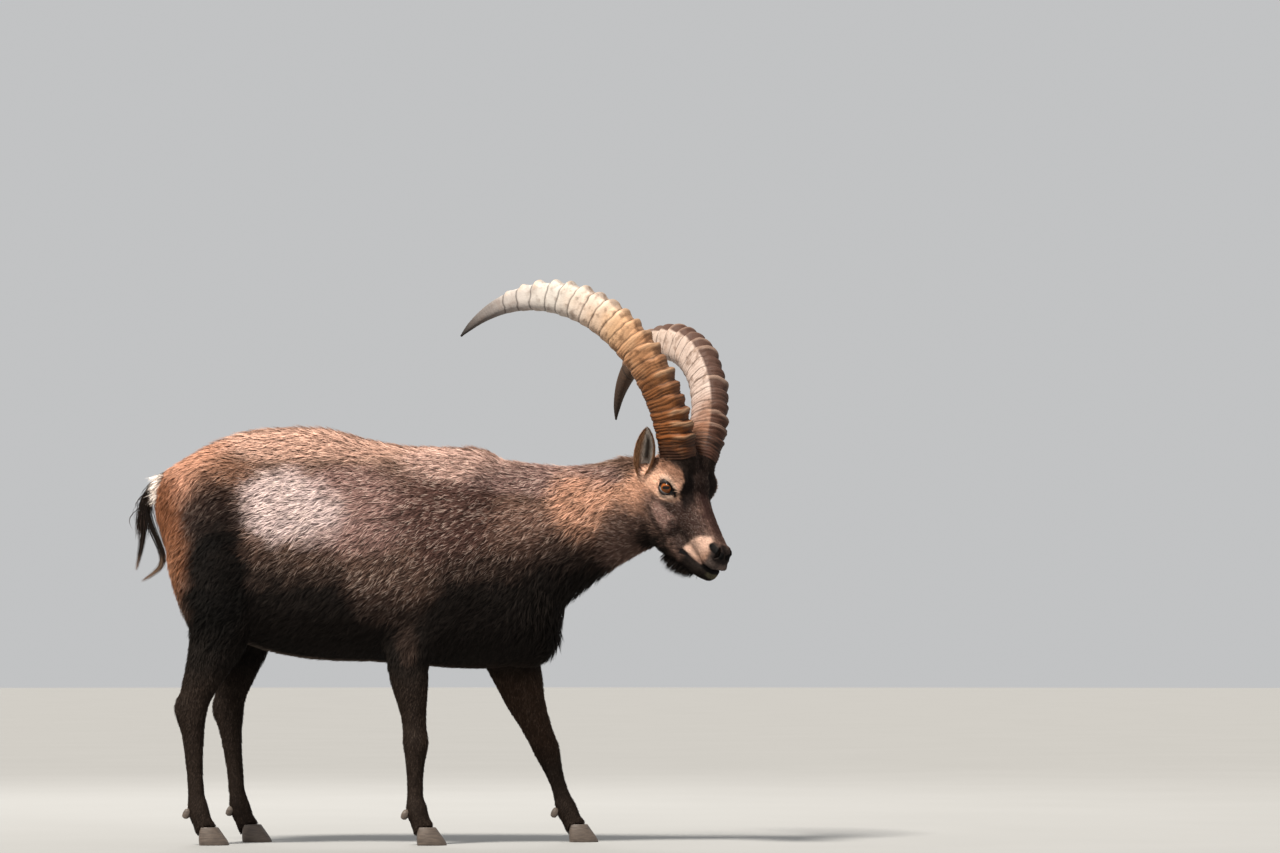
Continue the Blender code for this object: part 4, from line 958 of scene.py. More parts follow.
def coat_piece(name, roots, normals, ways, length, width, lift, marks, uv, shade, random):
    """One piece of coat: a tuft at each root, with its marks, tone and map."""
    bend = 0.12 * random.normal(size=len(roots))
    turned = 0.09 * random.normal(size=len(roots))
    ways = unit(ways + np.cross(normals, ways) * turned[:, None])
    points, tris, along, maps = tuft_mesh(roots, normals, ways, length, width, lift, bend, uv)
    piece = new_piece(name, points, tris, coat_material)
    paint(piece.data, "marks", np.repeat(marks, TUFT_POINTS, axis=0))
    dress_hair(piece, tris, np.repeat(shade, TUFT_POINTS), along, maps)


# %% [markdown]
# Hair lies in small locks whose tips draw together, and the light and dark of a coat change from
# lock to lock. So lock middles are scattered first, and each tuft takes its tone, turn and
# colour from the lock it stands in, and leans towards the lock's line.

# %% Scatter locks and tufts
TUFTS = 228000
LOCKS = 84000
MOST_IN_A_PIECE = 32000
random = np.random.default_rng(12)
skin_way = coat_way(skin_verts, skin_normals)
skin_length = coat_length(skin_verts)
skin_lift = coat_lift(skin_verts)
local = mirrored(to_head(skin_verts))
gap, _ = line_distance(local, MOUTH_LINE)
hole = (local - np.array((0.192, 0.021, 0.001))) / np.array((0.019, 0.011, 0.010))
hole = np.linalg.norm(hole, axis=1)
bare = np.maximum.reduce((
    ease(in_opening(local), 1.64, 1.48), ease(gap, 0.0055, 0.0035), ease(hole, 1.3, 1.0)))
skin_width = 0.00035 + 0.052 * skin_length
thinner = 0.62 + 0.38 * ease(skin_length, 0.006, 0.014)
density = (1 - bare) / (skin_length * skin_width) * thinner


def blended(values, which, weights):
    """A skin value for each scattered place, blended from the corners of its triangle."""
    return np.einsum("ij,ij...->i...", weights, values[skin_tris[which]])


lock_which, lock_weights = scatter(skin_verts, skin_tris, 1 / skin_length**1.35, LOCKS, random)
lock_roots = blended(skin_verts, lock_which, lock_weights)
lock_marks = marks_at(lock_roots)
lock_tone = random.random(LOCKS)
lock_turn = 0.17 * random.normal(size=LOCKS)
lock_rise = random.uniform(-1, 1, LOCKS)
lock_tree = KDTree(LOCKS)
for i, root in enumerate(lock_roots):
    lock_tree.insert(root, i)
lock_tree.balance()
which, weights = scatter(skin_verts, skin_tris, density, TUFTS, random)


def at_roots(values):
    return blended(values, which, weights)


roots = at_roots(skin_verts)
root_normals = unit(at_roots(skin_normals))
length, width, lift = (at_roots(v) for v in (skin_length, skin_width, skin_lift))
lock = np.array([lock_tree.find(root)[1] for root in roots])
root_marks = 0.35 * marks_at(roots) + 0.65 * lock_marks[lock]
way = unit(at_roots(skin_way))
way = unit(way + np.cross(root_normals, way) * lock_turn[lock][:, None])
draw = lock_roots[lock] - roots
draw = draw - root_normals * np.sum(draw * root_normals, 1, keepdims=True)
far_off = np.linalg.norm(draw, axis=1, keepdims=True)
draw = draw * np.minimum(1, 0.45 * length[:, None] / np.maximum(far_off, 1e-6))
way = unit(way * length[:, None] + 0.70 * draw)
length = length * (0.90 + 0.16 * lock_rise[lock] + 0.22 * random.uniform(-1, 1, TUFTS))
lift = lift * (1 + 0.30 * lock_rise[lock] + 0.15 * random.uniform(-1, 1, TUFTS))
shade = 0.62 * lock_tone[lock] + 0.38 * random.random(TUFTS) + 0.12 * rough(roots, 0.016, 3)
shade = np.clip(shade, 0, 1)
print("locks", LOCKS, "tufts in a lock", round(TUFTS / LOCKS, 1))

# %% [markdown]
# The coat is parted by regions of the body, and large regions into several pieces.

# %% The coat
root_map = np.einsum("ij,ijk->ik", weights, skin_map[which])
x, y, z = design(roots).T
regions = np.select(
    [near_head(roots) > 0.5, (z < 0.42) & (x > -0.3), z < 0.42, x > 0.15, x < -0.42, z > 0.86, y < 0],
    [0, 1, 2, 3, 4, 5, 6], 7)
REGION_NAMES = ("head", "forelegs", "hindlegs", "neck", "rump", "back", "right", "left")
TUFT_VALUES = (roots, root_normals, way, length, width, lift, root_marks, root_map, shade)
coat_triangles = 0
for number, region in enumerate(REGION_NAMES):
    members = np.nonzero(regions == number)[0]
    parts = max(1, math.ceil(len(members) / MOST_IN_A_PIECE))
    for part in range(parts):
        chosen = members[part::parts]
        label = f"coat_{region}" + (f"_{part + 1}" if parts > 1 else "")
        coat_piece(label, *(values[chosen] for values in TUFT_VALUES), random)
        coat_triangles += len(chosen) * TUFT_TRIANGLES
        print(label, len(chosen), "tufts")
print("coat triangles", coat_triangles)

# %% [markdown]
# The horns are the animal's sign. Each is a tapering oval tube on a curved line, with strong
# cross ridges on its front and fine rings all along, dark near the head and pale further out.

# %% Horn shape
HORN_LENGTH = 0.740
HORN_DEPTH = 0.084
HORN_WIDTH = 0.060
HORN_CURL = (2.354, 2.187, 0.2625, 0.318)
HORN_LEAN = (0.351, -0.110, 0.040)
HORN_UNLIKE = (0.273, -0.070)
HORN_SEAT = (-0.060, 0.038, 0.062)
HORN_TAPER = ((0.0, 1.02), (0.10, 1.0), (0.45, 0.97), (0.62, 0.86), (0.76, 0.64), (0.88, 0.40),
              (0.96, 0.20), (1.0, 0.05))
HORN_ROWS = 460
HORN_AROUND = 72
SUNK_ROWS = 9
LINE_STEPS = 400
KNOB_HEIGHT = 0.0080
RIDGE_HEIGHT = 0.0014


def horn_way(share, side):
    curl = sum(k * share**n for n, k in enumerate(HORN_CURL))
    curl += side * (HORN_UNLIKE[0] * share + HORN_UNLIKE[1] * share**2)
    lean = sum(k * share**n for n, k in enumerate(HORN_LEAN))
    along = head_way(math.cos(lean) * math.cos(curl), side * math.sin(lean), math.cos(lean) * math.sin(curl))
    front = head_way(math.sin(curl), 0.0, -math.cos(curl))
    front = (front - along * front.dot(along)).normalized()
    return along, front, along.cross(front)


def knob_places():
    places, at = [], 0.043
    while at < 0.83:
        places.append(at)
        at += 0.035 + 0.020 * at
    return places


def ridge_strength(share):
    """How strong the ridges are: full near the head, fading towards the tip."""
    return 1.0 if share < 0.7 else max(0.3, 1 - (share - 0.7) * 4)


def horn_piece(name, side, material):
    random = np.random.default_rng(7 if side < 0 else 11)
    knobs = [(at, 0.70 + 0.6 * random.random(), 0.80) for at in knob_places()]
    knobs += [(at, 0.25, 0.90) for at in (0.006, 0.014, 0.022, 0.030)]
    slant = [0.010 * random.normal() for _ in knobs]
    wobble = [random.uniform(0, 6.3, 3) for _ in knobs]
    around = HORN_AROUND
    step = HORN_LENGTH / LINE_STEPS
    centre = on_head(HORN_SEAT[0], side * HORN_SEAT[1] + (0.003 if side > 0 else 0.0), HORN_SEAT[2])
    line = [centre]
    for i in range(LINE_STEPS):
        line.append(line[-1] + horn_way((i + 0.5) / LINE_STEPS, side)[0] * step)
    line = np.array(line)
    sunk = np.linspace(-0.016, 0.0, SUNK_ROWS + 1)[:-1]
    shares = np.concatenate((sunk, np.linspace(0, 1, HORN_ROWS - SUNK_ROWS)))
    turn = 2 * np.pi * (np.arange(around) + 0.5) / around
    c, s = np.cos(turn), np.sin(turn)
    uneven = [0.0012 * np.sin(3 * turn + w[0]) + 0.0011 * np.sin(5 * turn + w[1])
              + 0.0007 * np.sin(9 * turn + w[2]) for w in wobble]
    points, shade = [], []
    for share in shares:
        inside = max(share, 0.0)
        along, front, across = (np.array(v) for v in horn_way(inside, side))
        at_step = inside * LINE_STEPS
        middle = np.array([np.interp(at_step, np.arange(LINE_STEPS + 1), line[:, k]) for k in range(3)])
        middle = middle + along * min(share, 0.0) * HORN_LENGTH
        size = float(np.interp(inside, *zip(*HORN_TAPER)))
        lift = np.zeros(around)
        for (at, strength, _), tilt, ragged in zip(knobs, slant, uneven):
            near = share - at - 0.008 * (1 - c) * 0.6 - tilt * s * 0.4 + ragged
            near = near / np.where(near > 0, 0.0070, 0.0155)
            lift = np.maximum(lift, strength * np.exp(-np.abs(near) ** 2.4))
        fade = min(1.0, size * 1.1) * ridge_strength(inside)
        face = np.maximum(0.0, c) ** 1.9
        broad = 1.0 + 0.10 * np.maximum(0.0, c)
        depth = np.copysign(np.abs(c) ** 0.82, c) * HORN_DEPTH / 2 * size
        wide = np.copysign(np.abs(s) ** 0.86, s) * HORN_WIDTH / 2 * size * broad
        ripple = np.sin(share * 560 + 2.5 * np.sin(share * 71) + 0.9 * np.sin(turn * 2 + share * 30)
                        + 0.7 * np.sin(turn * 5 + share * 90))
        young = max(0.25, 1 - 1.7 * inside)
        finest = np.sin(share * 1310 + 3 * np.sin(share * 133 + turn))
        rings = 0.00055 * young * ripple + 0.00025 * finest * young
        # The cuts sink the grooves, and the material darkens them with painted shade.
        cut = 0.55 * young * np.clip((-ripple - 0.55) / 0.45, 0, 1) * (young > 0.3)
        for (at, _, depth_of_cut), tilt, ragged in zip(knobs, slant, uneven):
            under = (share - at - 0.0100 - 0.0048 * (1 - c) - tilt * s * 0.4 + ragged) / 0.0026
            cut = np.maximum(cut, depth_of_cut * np.exp(-under * under))
        rings = rings - 0.0009 * cut * ridge_strength(inside)
        push = lift * fade * (KNOB_HEIGHT * face + RIDGE_HEIGHT) + rings
        outward = np.outer(c, front) + np.outer(s, across)
        oval = middle + np.outer(depth, front) + np.outer(wide, across)
        points.append(oval + outward * push[:, None])
        shade.append(np.stack((np.full(around, inside), np.maximum(0.0, c), lift, cut), 1))
    count = len(shares)
    points = np.concatenate(points + [line[-1:] + 0.0008 * np.array(horn_way(1.0, side)[0])])
    shade = np.concatenate(shade + [np.array([[1.0, 0, 0, 0.5]])])
    last = (count - 1) * around + np.arange(around)
    cap = np.stack((last, np.roll(last, -1), np.full(around, len(points) - 1)), 1)
    tris = np.concatenate((tube_tris(count, around), cap))
    piece = new_piece(name, points, tris, material, (name,))
    paint(piece.data, "horn", shade)


# %% [markdown]
# The horn's colour runs along it in stops that drift with noise. Brown streaks, pale wear with a
# painted highlight on the ridge crests, a painted shade on the front, and near-black painted shade
# in the cuts under the ridges lie over that.

# %% Horn material
HORN_STREAK = (0.075, 0.034, 0.016, 1.0)
HORN_FRONT_SHADE = (0.046, 0.020, 0.013, 1.0)
HORN_CUT_SHADE = (0.012, 0.007, 0.005, 1.0)


def horn_material(name, stops, front_shade, edge, pale_wear_and_highlight):
    """Takes colour stops, the strength of the painted shade on the front and where it begins, and the colour
    of pale wear, which also paints a highlight on the ridge crests.
    """
    material, tree, shader = new_material(name, 0.52, 0.12)
    data = attribute_node(tree, "horn")
    split = tree.nodes.new("ShaderNodeSeparateColor")
    tree.links.new(data.outputs["Color"], split.inputs[0])
    share, face, ridge = split.outputs
    drift = scale_node(tree, noise_node(tree, 14.0, 4.0), 0.16, -0.08)
    ramp = tree.nodes.new("ShaderNodeValToRGB")
    tree.links.new(math_node(tree, "ADD", share, drift), ramp.inputs[0])
    while len(ramp.color_ramp.elements) < len(stops):
        ramp.color_ramp.elements.new(0.5)
    for element, (at, colour) in zip(ramp.color_ramp.elements, stops):
        element.position = at
        element.color = colour + (1.0,)
    streak = noise_node(tree, 60.0, 6.0)
    blotch = noise_node(tree, 24.0, 3.0)
    streaked = product(tree, ramp_node(tree, streak, 0.48, 0.68), 0.60, ramp_node(tree, share, 1.25, 0.30))
    colour = mix_node(tree, streaked, ramp.outputs[0], HORN_STREAK)
    patches = product(tree, ramp_node(tree, blotch, 0.50, 0.72), ramp_node(tree, share, 0.12, 0.40),
                      ramp_node(tree, share, 0.66, 0.48), 0.35)
    colour = mix_node(tree, patches, colour, pale_wear_and_highlight)
    # The front face is darkened: painted shade.
    front = product(tree, ramp_node(tree, face, *edge), front_shade, ramp_node(tree, share, 0.85, 0.55))
    colour = mix_node(tree, front, colour, HORN_FRONT_SHADE)
    # Paler ridge crests on the front: worn horn with a painted highlight.
    crest_wear_and_highlight = product(tree, ramp_node(tree, ridge, 0.75, 1.15), 0.32, ramp_node(tree, face, 0.25, 0.70))
    colour = mix_node(tree, crest_wear_and_highlight, colour, pale_wear_and_highlight)
    # Near-black in the cuts under the ridges and in the troughs of the fine rings: painted shade.
    colour = mix_node(tree, product(tree, data.outputs["Alpha"], 0.95), colour, HORN_CUT_SHADE)
    tree.links.new(colour, shader.inputs["Base Color"])
    grain = noise_node(tree, 340.0, 4.0)
    relief = math_node(tree, "ADD", product(tree, grain, 0.5), streak)
    add_bump(tree, shader, relief, 0.70, 0.0016)
    tree.links.new(scale_node(tree, grain, 0.35, 0.42), shader.inputs["Roughness"])
    return material


# The near horn's front takes a light painted shade (0.45), the far horn's a heavy one (0.95).
near_horn = horn_material("horn_right", (
    (0.00, (0.026, 0.010, 0.005)), (0.05, (0.150, 0.047, 0.012)), (0.20, (0.148, 0.058, 0.021)),
    (0.33, (0.350, 0.180, 0.092)), (0.42, (0.450, 0.280, 0.165)), (0.52, (0.480, 0.385, 0.315)),
    (0.64, (0.430, 0.390, 0.350)), (0.76, (0.350, 0.312, 0.287)), (0.86, (0.150, 0.132, 0.123)),
    (0.94, (0.065, 0.056, 0.052)), (1.00, (0.013, 0.012, 0.011))),
    0.45, (0.86, 0.97), (0.42, 0.28, 0.175, 1.0))
far_horn = horn_material("horn_left", (
    (0.00, (0.045, 0.018, 0.011)), (0.08, (0.190, 0.092, 0.056)), (0.20, (0.375, 0.295, 0.258)),
    (0.60, (0.385, 0.300, 0.250)), (0.78, (0.070, 0.042, 0.028)), (1.00, (0.014, 0.011, 0.010))),
    0.95, (0.60, 0.74), (0.36, 0.25, 0.19, 1.0))
horn_piece("horn_right", -1, near_horn)
horn_piece("horn_left", 1, far_horn)
print("horns made")

# %% [markdown]
# A goat's eye has a wide amber iris with a level, slot-shaped pupil. The ball is one glossy
# piece whose material reads its own across, up and outward directions.

# %% Eyes
EYE_ROWS = 40
EYE_AROUND = 64
BALL_RADIUS = EYE_RADIUS - 0.0003
CORNEA = 0.035
IRIS_DARK = (0.120, 0.027, 0.003, 1)
IRIS_BRIGHT = (0.270, 0.076, 0.010, 1)
IRIS_CENTRE = (0.090, 0.027, 0.006, 1)
IRIS_RIM = (0.010, 0.006, 0.005, 1)
PUPIL = (0.002, 0.002, 0.002, 1)


def eye_piece(name, side):
    axes = EYE_AXES.copy()
    axes[1] *= side
    axes = np.array(HEAD_AXES) @ axes
    gaze = axes[:, 2]
    level = unit(np.cross(gaze, np.array((0.0, 0.0, 1.0))))
    upright = np.cross(level, gaze)
    centre = np.array(on_head(EYE_PLACE[0], side * EYE_PLACE[1], EYE_PLACE[2]))
    rows, around = EYE_ROWS, EYE_AROUND
    points, place = [], []
    for i in range(1, rows):
        polar = math.pi * (i / rows) ** 1.15
        turn = 2 * np.pi * np.arange(around) / around
        u, w, out = math.sin(polar) * np.cos(turn), math.sin(polar) * np.sin(turn), math.cos(polar)
        bulge = 1.0 + CORNEA * math.exp(-((polar / 0.62) ** 4))
        ball = np.outer(u, level) + np.outer(w, upright) + out * gaze
        points.append(centre + ball * BALL_RADIUS * bulge)
        place.append(np.stack((u, w, np.full(around, out), np.ones(around)), 1))
    poles = np.array([centre + gaze * BALL_RADIUS * (1 + CORNEA), centre - gaze * EYE_RADIUS])
    points = np.concatenate(points + [poles])
    place = np.concatenate(place + [np.array([[0, 0, 1, 1.0], [0, 0, -1, 1.0]])])
    a, b = tube_corners(rows - 1, around)
    tris = [np.stack((a, a + around, b + around), 1), np.stack((a, b + around, b), 1)]
    first = np.arange(around)
    last = (rows - 2) * around + first
    tris.append(np.stack((np.full(around, len(points) - 2), first, np.roll(first, -1)), 1))
    tris.append(np.stack((np.full(around, len(points) - 1), np.roll(last, -1), last), 1))
    piece = new_piece(name, points, np.concatenate(tris), eye_material, (name,))
    paint(piece.data, "eye_place", place)


eye_material, tree, shader = new_material("eye", 0.40, 0.05, 0.5)
shader.inputs["Coat Roughness"].default_value = 0.02
place = attribute_node(tree, "eye_place")
split = tree.nodes.new("ShaderNodeSeparateXYZ")
tree.links.new(place.outputs["Vector"], split.inputs[0])
u, w = split.outputs[0], split.outputs[1]
radius = math_node(tree, "SQRT", math_node(tree, "ADD", product(tree, u, u), product(tree, w, w)))
angle = math_node(tree, "ARCTAN2", w, u)
rays = tree.nodes.new("ShaderNodeTexNoise")
rays.noise_dimensions = "2D"
rays.inputs["Scale"].default_value = 1.0
rays.inputs["Detail"].default_value = 3.0
spokes = tree.nodes.new("ShaderNodeCombineXYZ")
tree.links.new(product(tree, angle, 9.0), spokes.inputs[0])
tree.links.new(product(tree, radius, 3.0), spokes.inputs[1])
tree.links.new(spokes.outputs[0], rays.inputs["Vector"])
iris = mix_node(tree, ramp_node(tree, rays.outputs["Fac"], 0.35, 0.65), IRIS_DARK, IRIS_BRIGHT)
iris = mix_node(tree, ramp_node(tree, radius, 0.20, 0.50), IRIS_CENTRE, iris)
iris = mix_node(tree, ramp_node(tree, radius, 0.60, 0.76), iris, IRIS_RIM)


def cubed(part, half):
    share = math_node(tree, "ABSOLUTE", math_node(tree, "DIVIDE", part, half))
    return math_node(tree, "POWER", share, 3.0)


slot = math_node(tree, "ADD", cubed(u, 0.50), cubed(math_node(tree, "SUBTRACT", w, 0.07), 0.200))
pupil = ramp_node(tree, slot, 1.15, 0.85)
tree.links.new(mix_node(tree, pupil, iris, PUPIL), shader.inputs["Base Color"])
eye_piece("eye_right", -1)
eye_piece("eye_left", 1)
print("eyes made")

# %% [markdown]
# The lid margins are bare, dark and moist. Each is a thin rolled strip round the almond opening
# that hides where skin and ball meet, thicker above. The dark tear corner in front is painted on the skin.

# %% Lid margins
LID_AROUND = 96
LID_ROWS = (  # size against the opening, and height over the ball
    (0.92, -0.0008), (0.955, 0.0008), (1.01, 0.0022), (1.12, 0.0034), (1.28, 0.0038), (1.46, 0.0031),
    (1.66, 0.0008))
UPPER_LID = 0.0014
LID_DARK = (0.006, 0.005, 0.005, 1)
LID_GREY = (0.030, 0.022, 0.019, 1)


def lid_piece(name, side):
    turn = 2 * np.pi * np.arange(LID_AROUND) / LID_AROUND
    c, s = np.cos(turn), np.sin(turn)
    almond = 1.0 - CORNERS * c**2
    points = []
    for grow, high in LID_ROWS:
        upper = np.maximum(0, s)
        u = OPENING[0] * c * grow
        w = OPENING[1] * almond * s * grow - 0.0010 * upper * (grow < 1.05)
        out = np.sqrt(np.maximum(EYE_RADIUS**2 - u**2 - w**2, 1e-8))
        way = unit(np.stack((u, w, out), 1))
        tall = EYE_RADIUS + high + UPPER_LID * upper * (high > 0.001)
        local = np.array(EYE_PLACE) + (way * tall[:, None]) @ EYE_AXES.T
        local[:, 1] *= side
        points.append(local)
    points = np.concatenate(points)
    points = np.array(SHIFT + HEAD_PLACE) + points @ np.array(HEAD_AXES).T
    a, b = tube_corners(len(LID_ROWS), LID_AROUND)
    quads = np.stack((a, b, b + LID_AROUND, a + LID_AROUND), 1)
    if side < 0:
        quads = quads[:, (0, 3, 2, 1)]
    new_piece(name, points, quads, lid_material)


lid_material, tree, shader = new_material("lid_margin", 0.42, 0.3)
lid_noise = noise_node(tree, 900.0, 3.0)
tree.links.new(mix_node(tree, lid_noise, LID_DARK, LID_GREY), shader.inputs["Base Color"])
add_bump(tree, shader, lid_noise, 0.4, 0.0006)
lid_piece("lids_right", -1)
lid_piece("lids_left", 1)
print("lids made")

# %% [markdown]
# The ears are thin leaf-shaped cups. They are made again as finer shells on the same lines, with
# short brown hair behind and longer white hair inside, round a dark hollow.

# %% Ears
EAR_LENGTH = 0.118
EAR_WIDTH = 0.044
EAR_SHARES = (0.0, 0.10, 0.20, 0.32, 0.45, 0.58, 0.70, 0.80, 0.89, 0.96, 1.0)
EAR_WIDTHS = (0.50, 0.66, 0.84, 0.97, 1.0, 0.95, 0.82, 0.65, 0.44, 0.22, 0.06)
EAR_ROWS = 46
EAR_COLUMNS = 17
EAR_TUFTS = 5200
THINNER = 0.7


def ear_shell(side):
    """Rings of points round the ear's rolled sheet, with what is inside and how far along."""
    root = on_head(-0.077, side * 0.058, -0.032)
    along = head_way(-0.31, side * 0.42, 0.85)
    opening = head_way(0.66, side * 0.68, -0.10)
    opening = (opening - along * opening.dot(along)).normalized()
    across = along.cross(opening)
    along, opening, across, root = (np.array(v) for v in (along, opening, across, root))
    rows, columns = EAR_ROWS, EAR_COLUMNS
    points, inside, rear, far = [], [], [], []
    to_rear = math.copysign(1.0, across @ np.array(head_way(-1, 0, 0)))
    for share in np.linspace(0.0, 0.995, rows):
        half = EAR_WIDTH / 2 * float(np.interp(share, EAR_SHARES, EAR_WIDTHS))
        bend = math.radians(142 - 60 * min(1.0, share * 1.2))
        radius = half / math.sin(min(bend, math.pi / 2))
        thick = min(0.0042 - 0.0016 * share, radius * 0.5) * THINNER
        centre = root + along * EAR_LENGTH * share - opening * 0.012 * math.sin(math.pi * share * 0.9)
        t = np.linspace(-1, 1, columns)
        edge = 1 - 0.85 * np.abs(t) ** 3
        way = np.outer(np.sin(bend * t), across) - np.outer(np.cos(bend * t), opening)
        middle = centre + way * radius + opening * radius * 0.5
        outer = middle + way * (thick * edge / 2)[:, None]
        inner = (middle - way * (thick * edge / 2)[:, None])[::-1]
        points.append(np.concatenate((outer, inner)))
        inside.append(np.concatenate((np.zeros(columns), 1 - np.abs(t[::-1]))))
        rear.append(to_rear * np.concatenate((t, t[::-1])))
        far.append(np.full(2 * columns, share))
    values = [np.concatenate(v) for v in (points, inside, rear, far)]
    return (*values, along, rows, 2 * columns)


def ear_piece(name, side):
    verts, inside, rear, far, along, rows, around = ear_shell(side)
    last = (rows - 1) * around + np.arange(around)
    half = around // 2 - 1
    cap = np.stack((np.roll(last, -1)[:half], last[::-1][:half], last[:half]), 1)
    tris = np.concatenate((tube_tris(rows, around), cap))
    normals = point_normals(verts, tris)
    middle = verts.mean(0)
    if np.sum(normals * (verts - middle) * (inside < 0.01)[:, None]) < 0:
        tris = tris[:, ::-1]
        normals = -normals
    marks = np.tile(np.array((0.330, 0.176, 0.094, 0.3)), (len(verts), 1))
    hollow = ease(np.abs(rear + 0.10), 0.20, 0.08) * (inside > 0.01)
    hollow = hollow * ease(far, 0.80, 0.62) * ease(far, 0.10, 0.30)
    white = ease(inside, 0.02, 0.10) * ease(rear, 0.34, 0.14)
    marks = mix(marks, (0.560, 0.490, 0.430, 0.1), white)
    marks = mix(marks, (0.034, 0.022, 0.016, 0.1), 0.95 * hollow)
    marks = mix(marks, (0.090, 0.058, 0.042, 0.2), 0.7 * (inside < 0.05) * ease(far, 0.75, 0.98))
    piece = new_piece(name, verts, tris, skin_material, (name,))
    paint(piece.data, "marks", marks)
    sheet = unwrap(piece)
    random = np.random.default_rng(31 + side)
    count = EAR_TUFTS
    inner = inside > 0.01
    length = np.where(inner, 0.0120 * (1 - 0.5 * hollow), 0.0075)
    density = np.where(inner, 0.8 - 0.5 * hollow, 1.0) * ease(far, 1.0, 0.97)
    which, weights = scatter(verts, tris, density, count, random)

    def blend(values):
        return np.einsum("ij,ij...->i...", weights, values[tris[which]])

    ways = np.tile(along, (count, 1))
    root_normals = unit(blend(normals))
    ways = unit(ways - root_normals * np.sum(ways * root_normals, 1, keepdims=True))
    lengths = blend(length) * (0.7 + 0.6 * random.random(count)) * ease(blend(far), 1.25, 0.80)
    coat_piece(name.replace("ear", "coat_ear"), blend(verts), root_normals, ways, lengths,
               0.0003 + 0.055 * lengths, np.full(count, 0.22), blend(marks),
               np.einsum("ij,ijk->ik", weights, sheet[which]), random.random(count), random)


ear_piece("ear_right", -1)
ear_piece("ear_left", 1)
print("ears made")

# %% [markdown]
# Beard and tail are long loose hair. Each strand is a thin folded ribbon that follows its own
# bent path, and the tail has a dark core under them.

# %% Strands
def strands(name, paths, places, width, marks, nodes, random):
    """Thin tapering ribbons along smooth paths, an array of strands by points by three. The places say
    where each root lies on the unwrapped surface that it grows from, from 0 to 1 each way."""
    count, steps = paths.shape[:2]
    heading = unit(np.gradient(paths, axis=1))
    flat = unit(np.cross(heading, unit(random.normal(size=(count, 1, 3)))))
    normal = np.cross(heading, flat)
    share = np.linspace(0, 1, steps)
    taper = np.minimum(1.0, (1 - share) * 2.2 + 0.02) * (0.7 + 0.3 * np.sin(np.pi * share))
    half = width[:, None, None] / 2 * taper[None, :, None]
    rows = np.stack((paths - flat * half, paths + normal * half * 0.7, paths + flat * half), 2)
    verts = rows.reshape(-1, 3)
    row, column = np.meshgrid(np.arange(steps - 1), np.arange(2), indexing="ij")
    a = (row * 3 + column).ravel()
    quads = np.stack((a, a + 1, a + 4, a + 3), 1)
    tris = np.concatenate((quads[:, (0, 1, 2)], quads[:, (0, 2, 3)]))
    tris = (np.arange(count)[:, None, None] * steps * 3 + tris[None]).reshape(-1, 3)
    along = np.broadcast_to(share[None, :, None], (count, steps, 3)).ravel()
    shade = np.repeat(random.random(count), steps * 3)
    piece = new_piece(name, verts, tris, coat_material, nodes)
    paint(piece.data, "marks", marks(verts, along))
    maps = 0.02 + 0.96 * np.repeat(np.clip(places, 0, 1), steps * 3, axis=0)
    maps = maps + np.stack((0.0014 * np.tile((-1, 0, 1), count * steps), 0.0028 * (along - 0.5)), 1)
    dress_hair(piece, tris, shade, along, maps)


def dark_hair(verts, _):
    return np.tile(np.array((0.0070, 0.0050, 0.0040, 0.10)), (len(verts), 1))


# %% [markdown]
# The beard is short and hangs from the chin, longest in its middle.

# %% Beard
BEARD_STRANDS = 900
random = np.random.default_rng(5)
count = BEARD_STRANDS
a = random.uniform(0.083, 0.160, count)
b = random.normal(0, 0.0085, count).clip(-0.018, 0.018)
c = -0.100 + 0.38 * (a - 0.122) + 0.004 * random.random(count)
root = np.stack((a, b, c), 1)
long = (0.026 + 0.011 * np.sin(np.pi * (a - 0.083) / 0.077)) * random.uniform(0.75, 1.12, count)
way = np.stack((np.full(count, -0.12), 14 * b, np.full(count, -1.0)), 1)
way = unit(way + 0.12 * random.normal(size=(count, 3)))
drop = np.array(HEAD_AXES.transposed() @ Vector((0, 0, -1)))
share = np.linspace(0, 1, 6)
path = root[:, None] + way[:, None] * (long[:, None] * share * (1 - 0.45 * share))[..., None] \
    + unit(way * 0.65 + drop * 0.35)[:, None] * (long[:, None] * share**2 * 0.45)[..., None]
path = np.array(SHIFT + HEAD_PLACE) + path @ np.array(HEAD_AXES).T
beard_places = np.stack(((a - 0.083) / 0.077, 0.5 + b / 0.036), 1)
beard_width = random.uniform(0.0010, 0.0020, count)
strands("beard", path, beard_places, beard_width, dark_hair, ("beard",), random)
print("beard strands", count)

# %% [markdown]
# The tail hangs from a short dock, with its hairs spread round it and falling past its end.

# %% Tail
TAIL_BONE = ((-0.590, 0.0, 0.830), (-0.612, 0.0, 0.822), (-0.632, 0.0, 0.800), (-0.642, 0.0, 0.768),
             (-0.644, 0.0, 0.738))
DOCK_ROWS = 24
DOCK_AROUND = 20
random = np.random.default_rng(3)


def drawn_line(points, steps, rounds):
    """A line through a few places in metres, with many steps and its corners rounded."""
    line = np.array(points) + np.array(SHIFT)
    at = np.linspace(0, len(points) - 1, steps)
    line = np.stack([np.interp(at, np.arange(len(points)), line[:, k]) for k in range(3)], 1)
    for _ in range(rounds):
        line[1:-1] = (line[:-2] + 2 * line[1:-1] + line[2:]) / 4
    return line


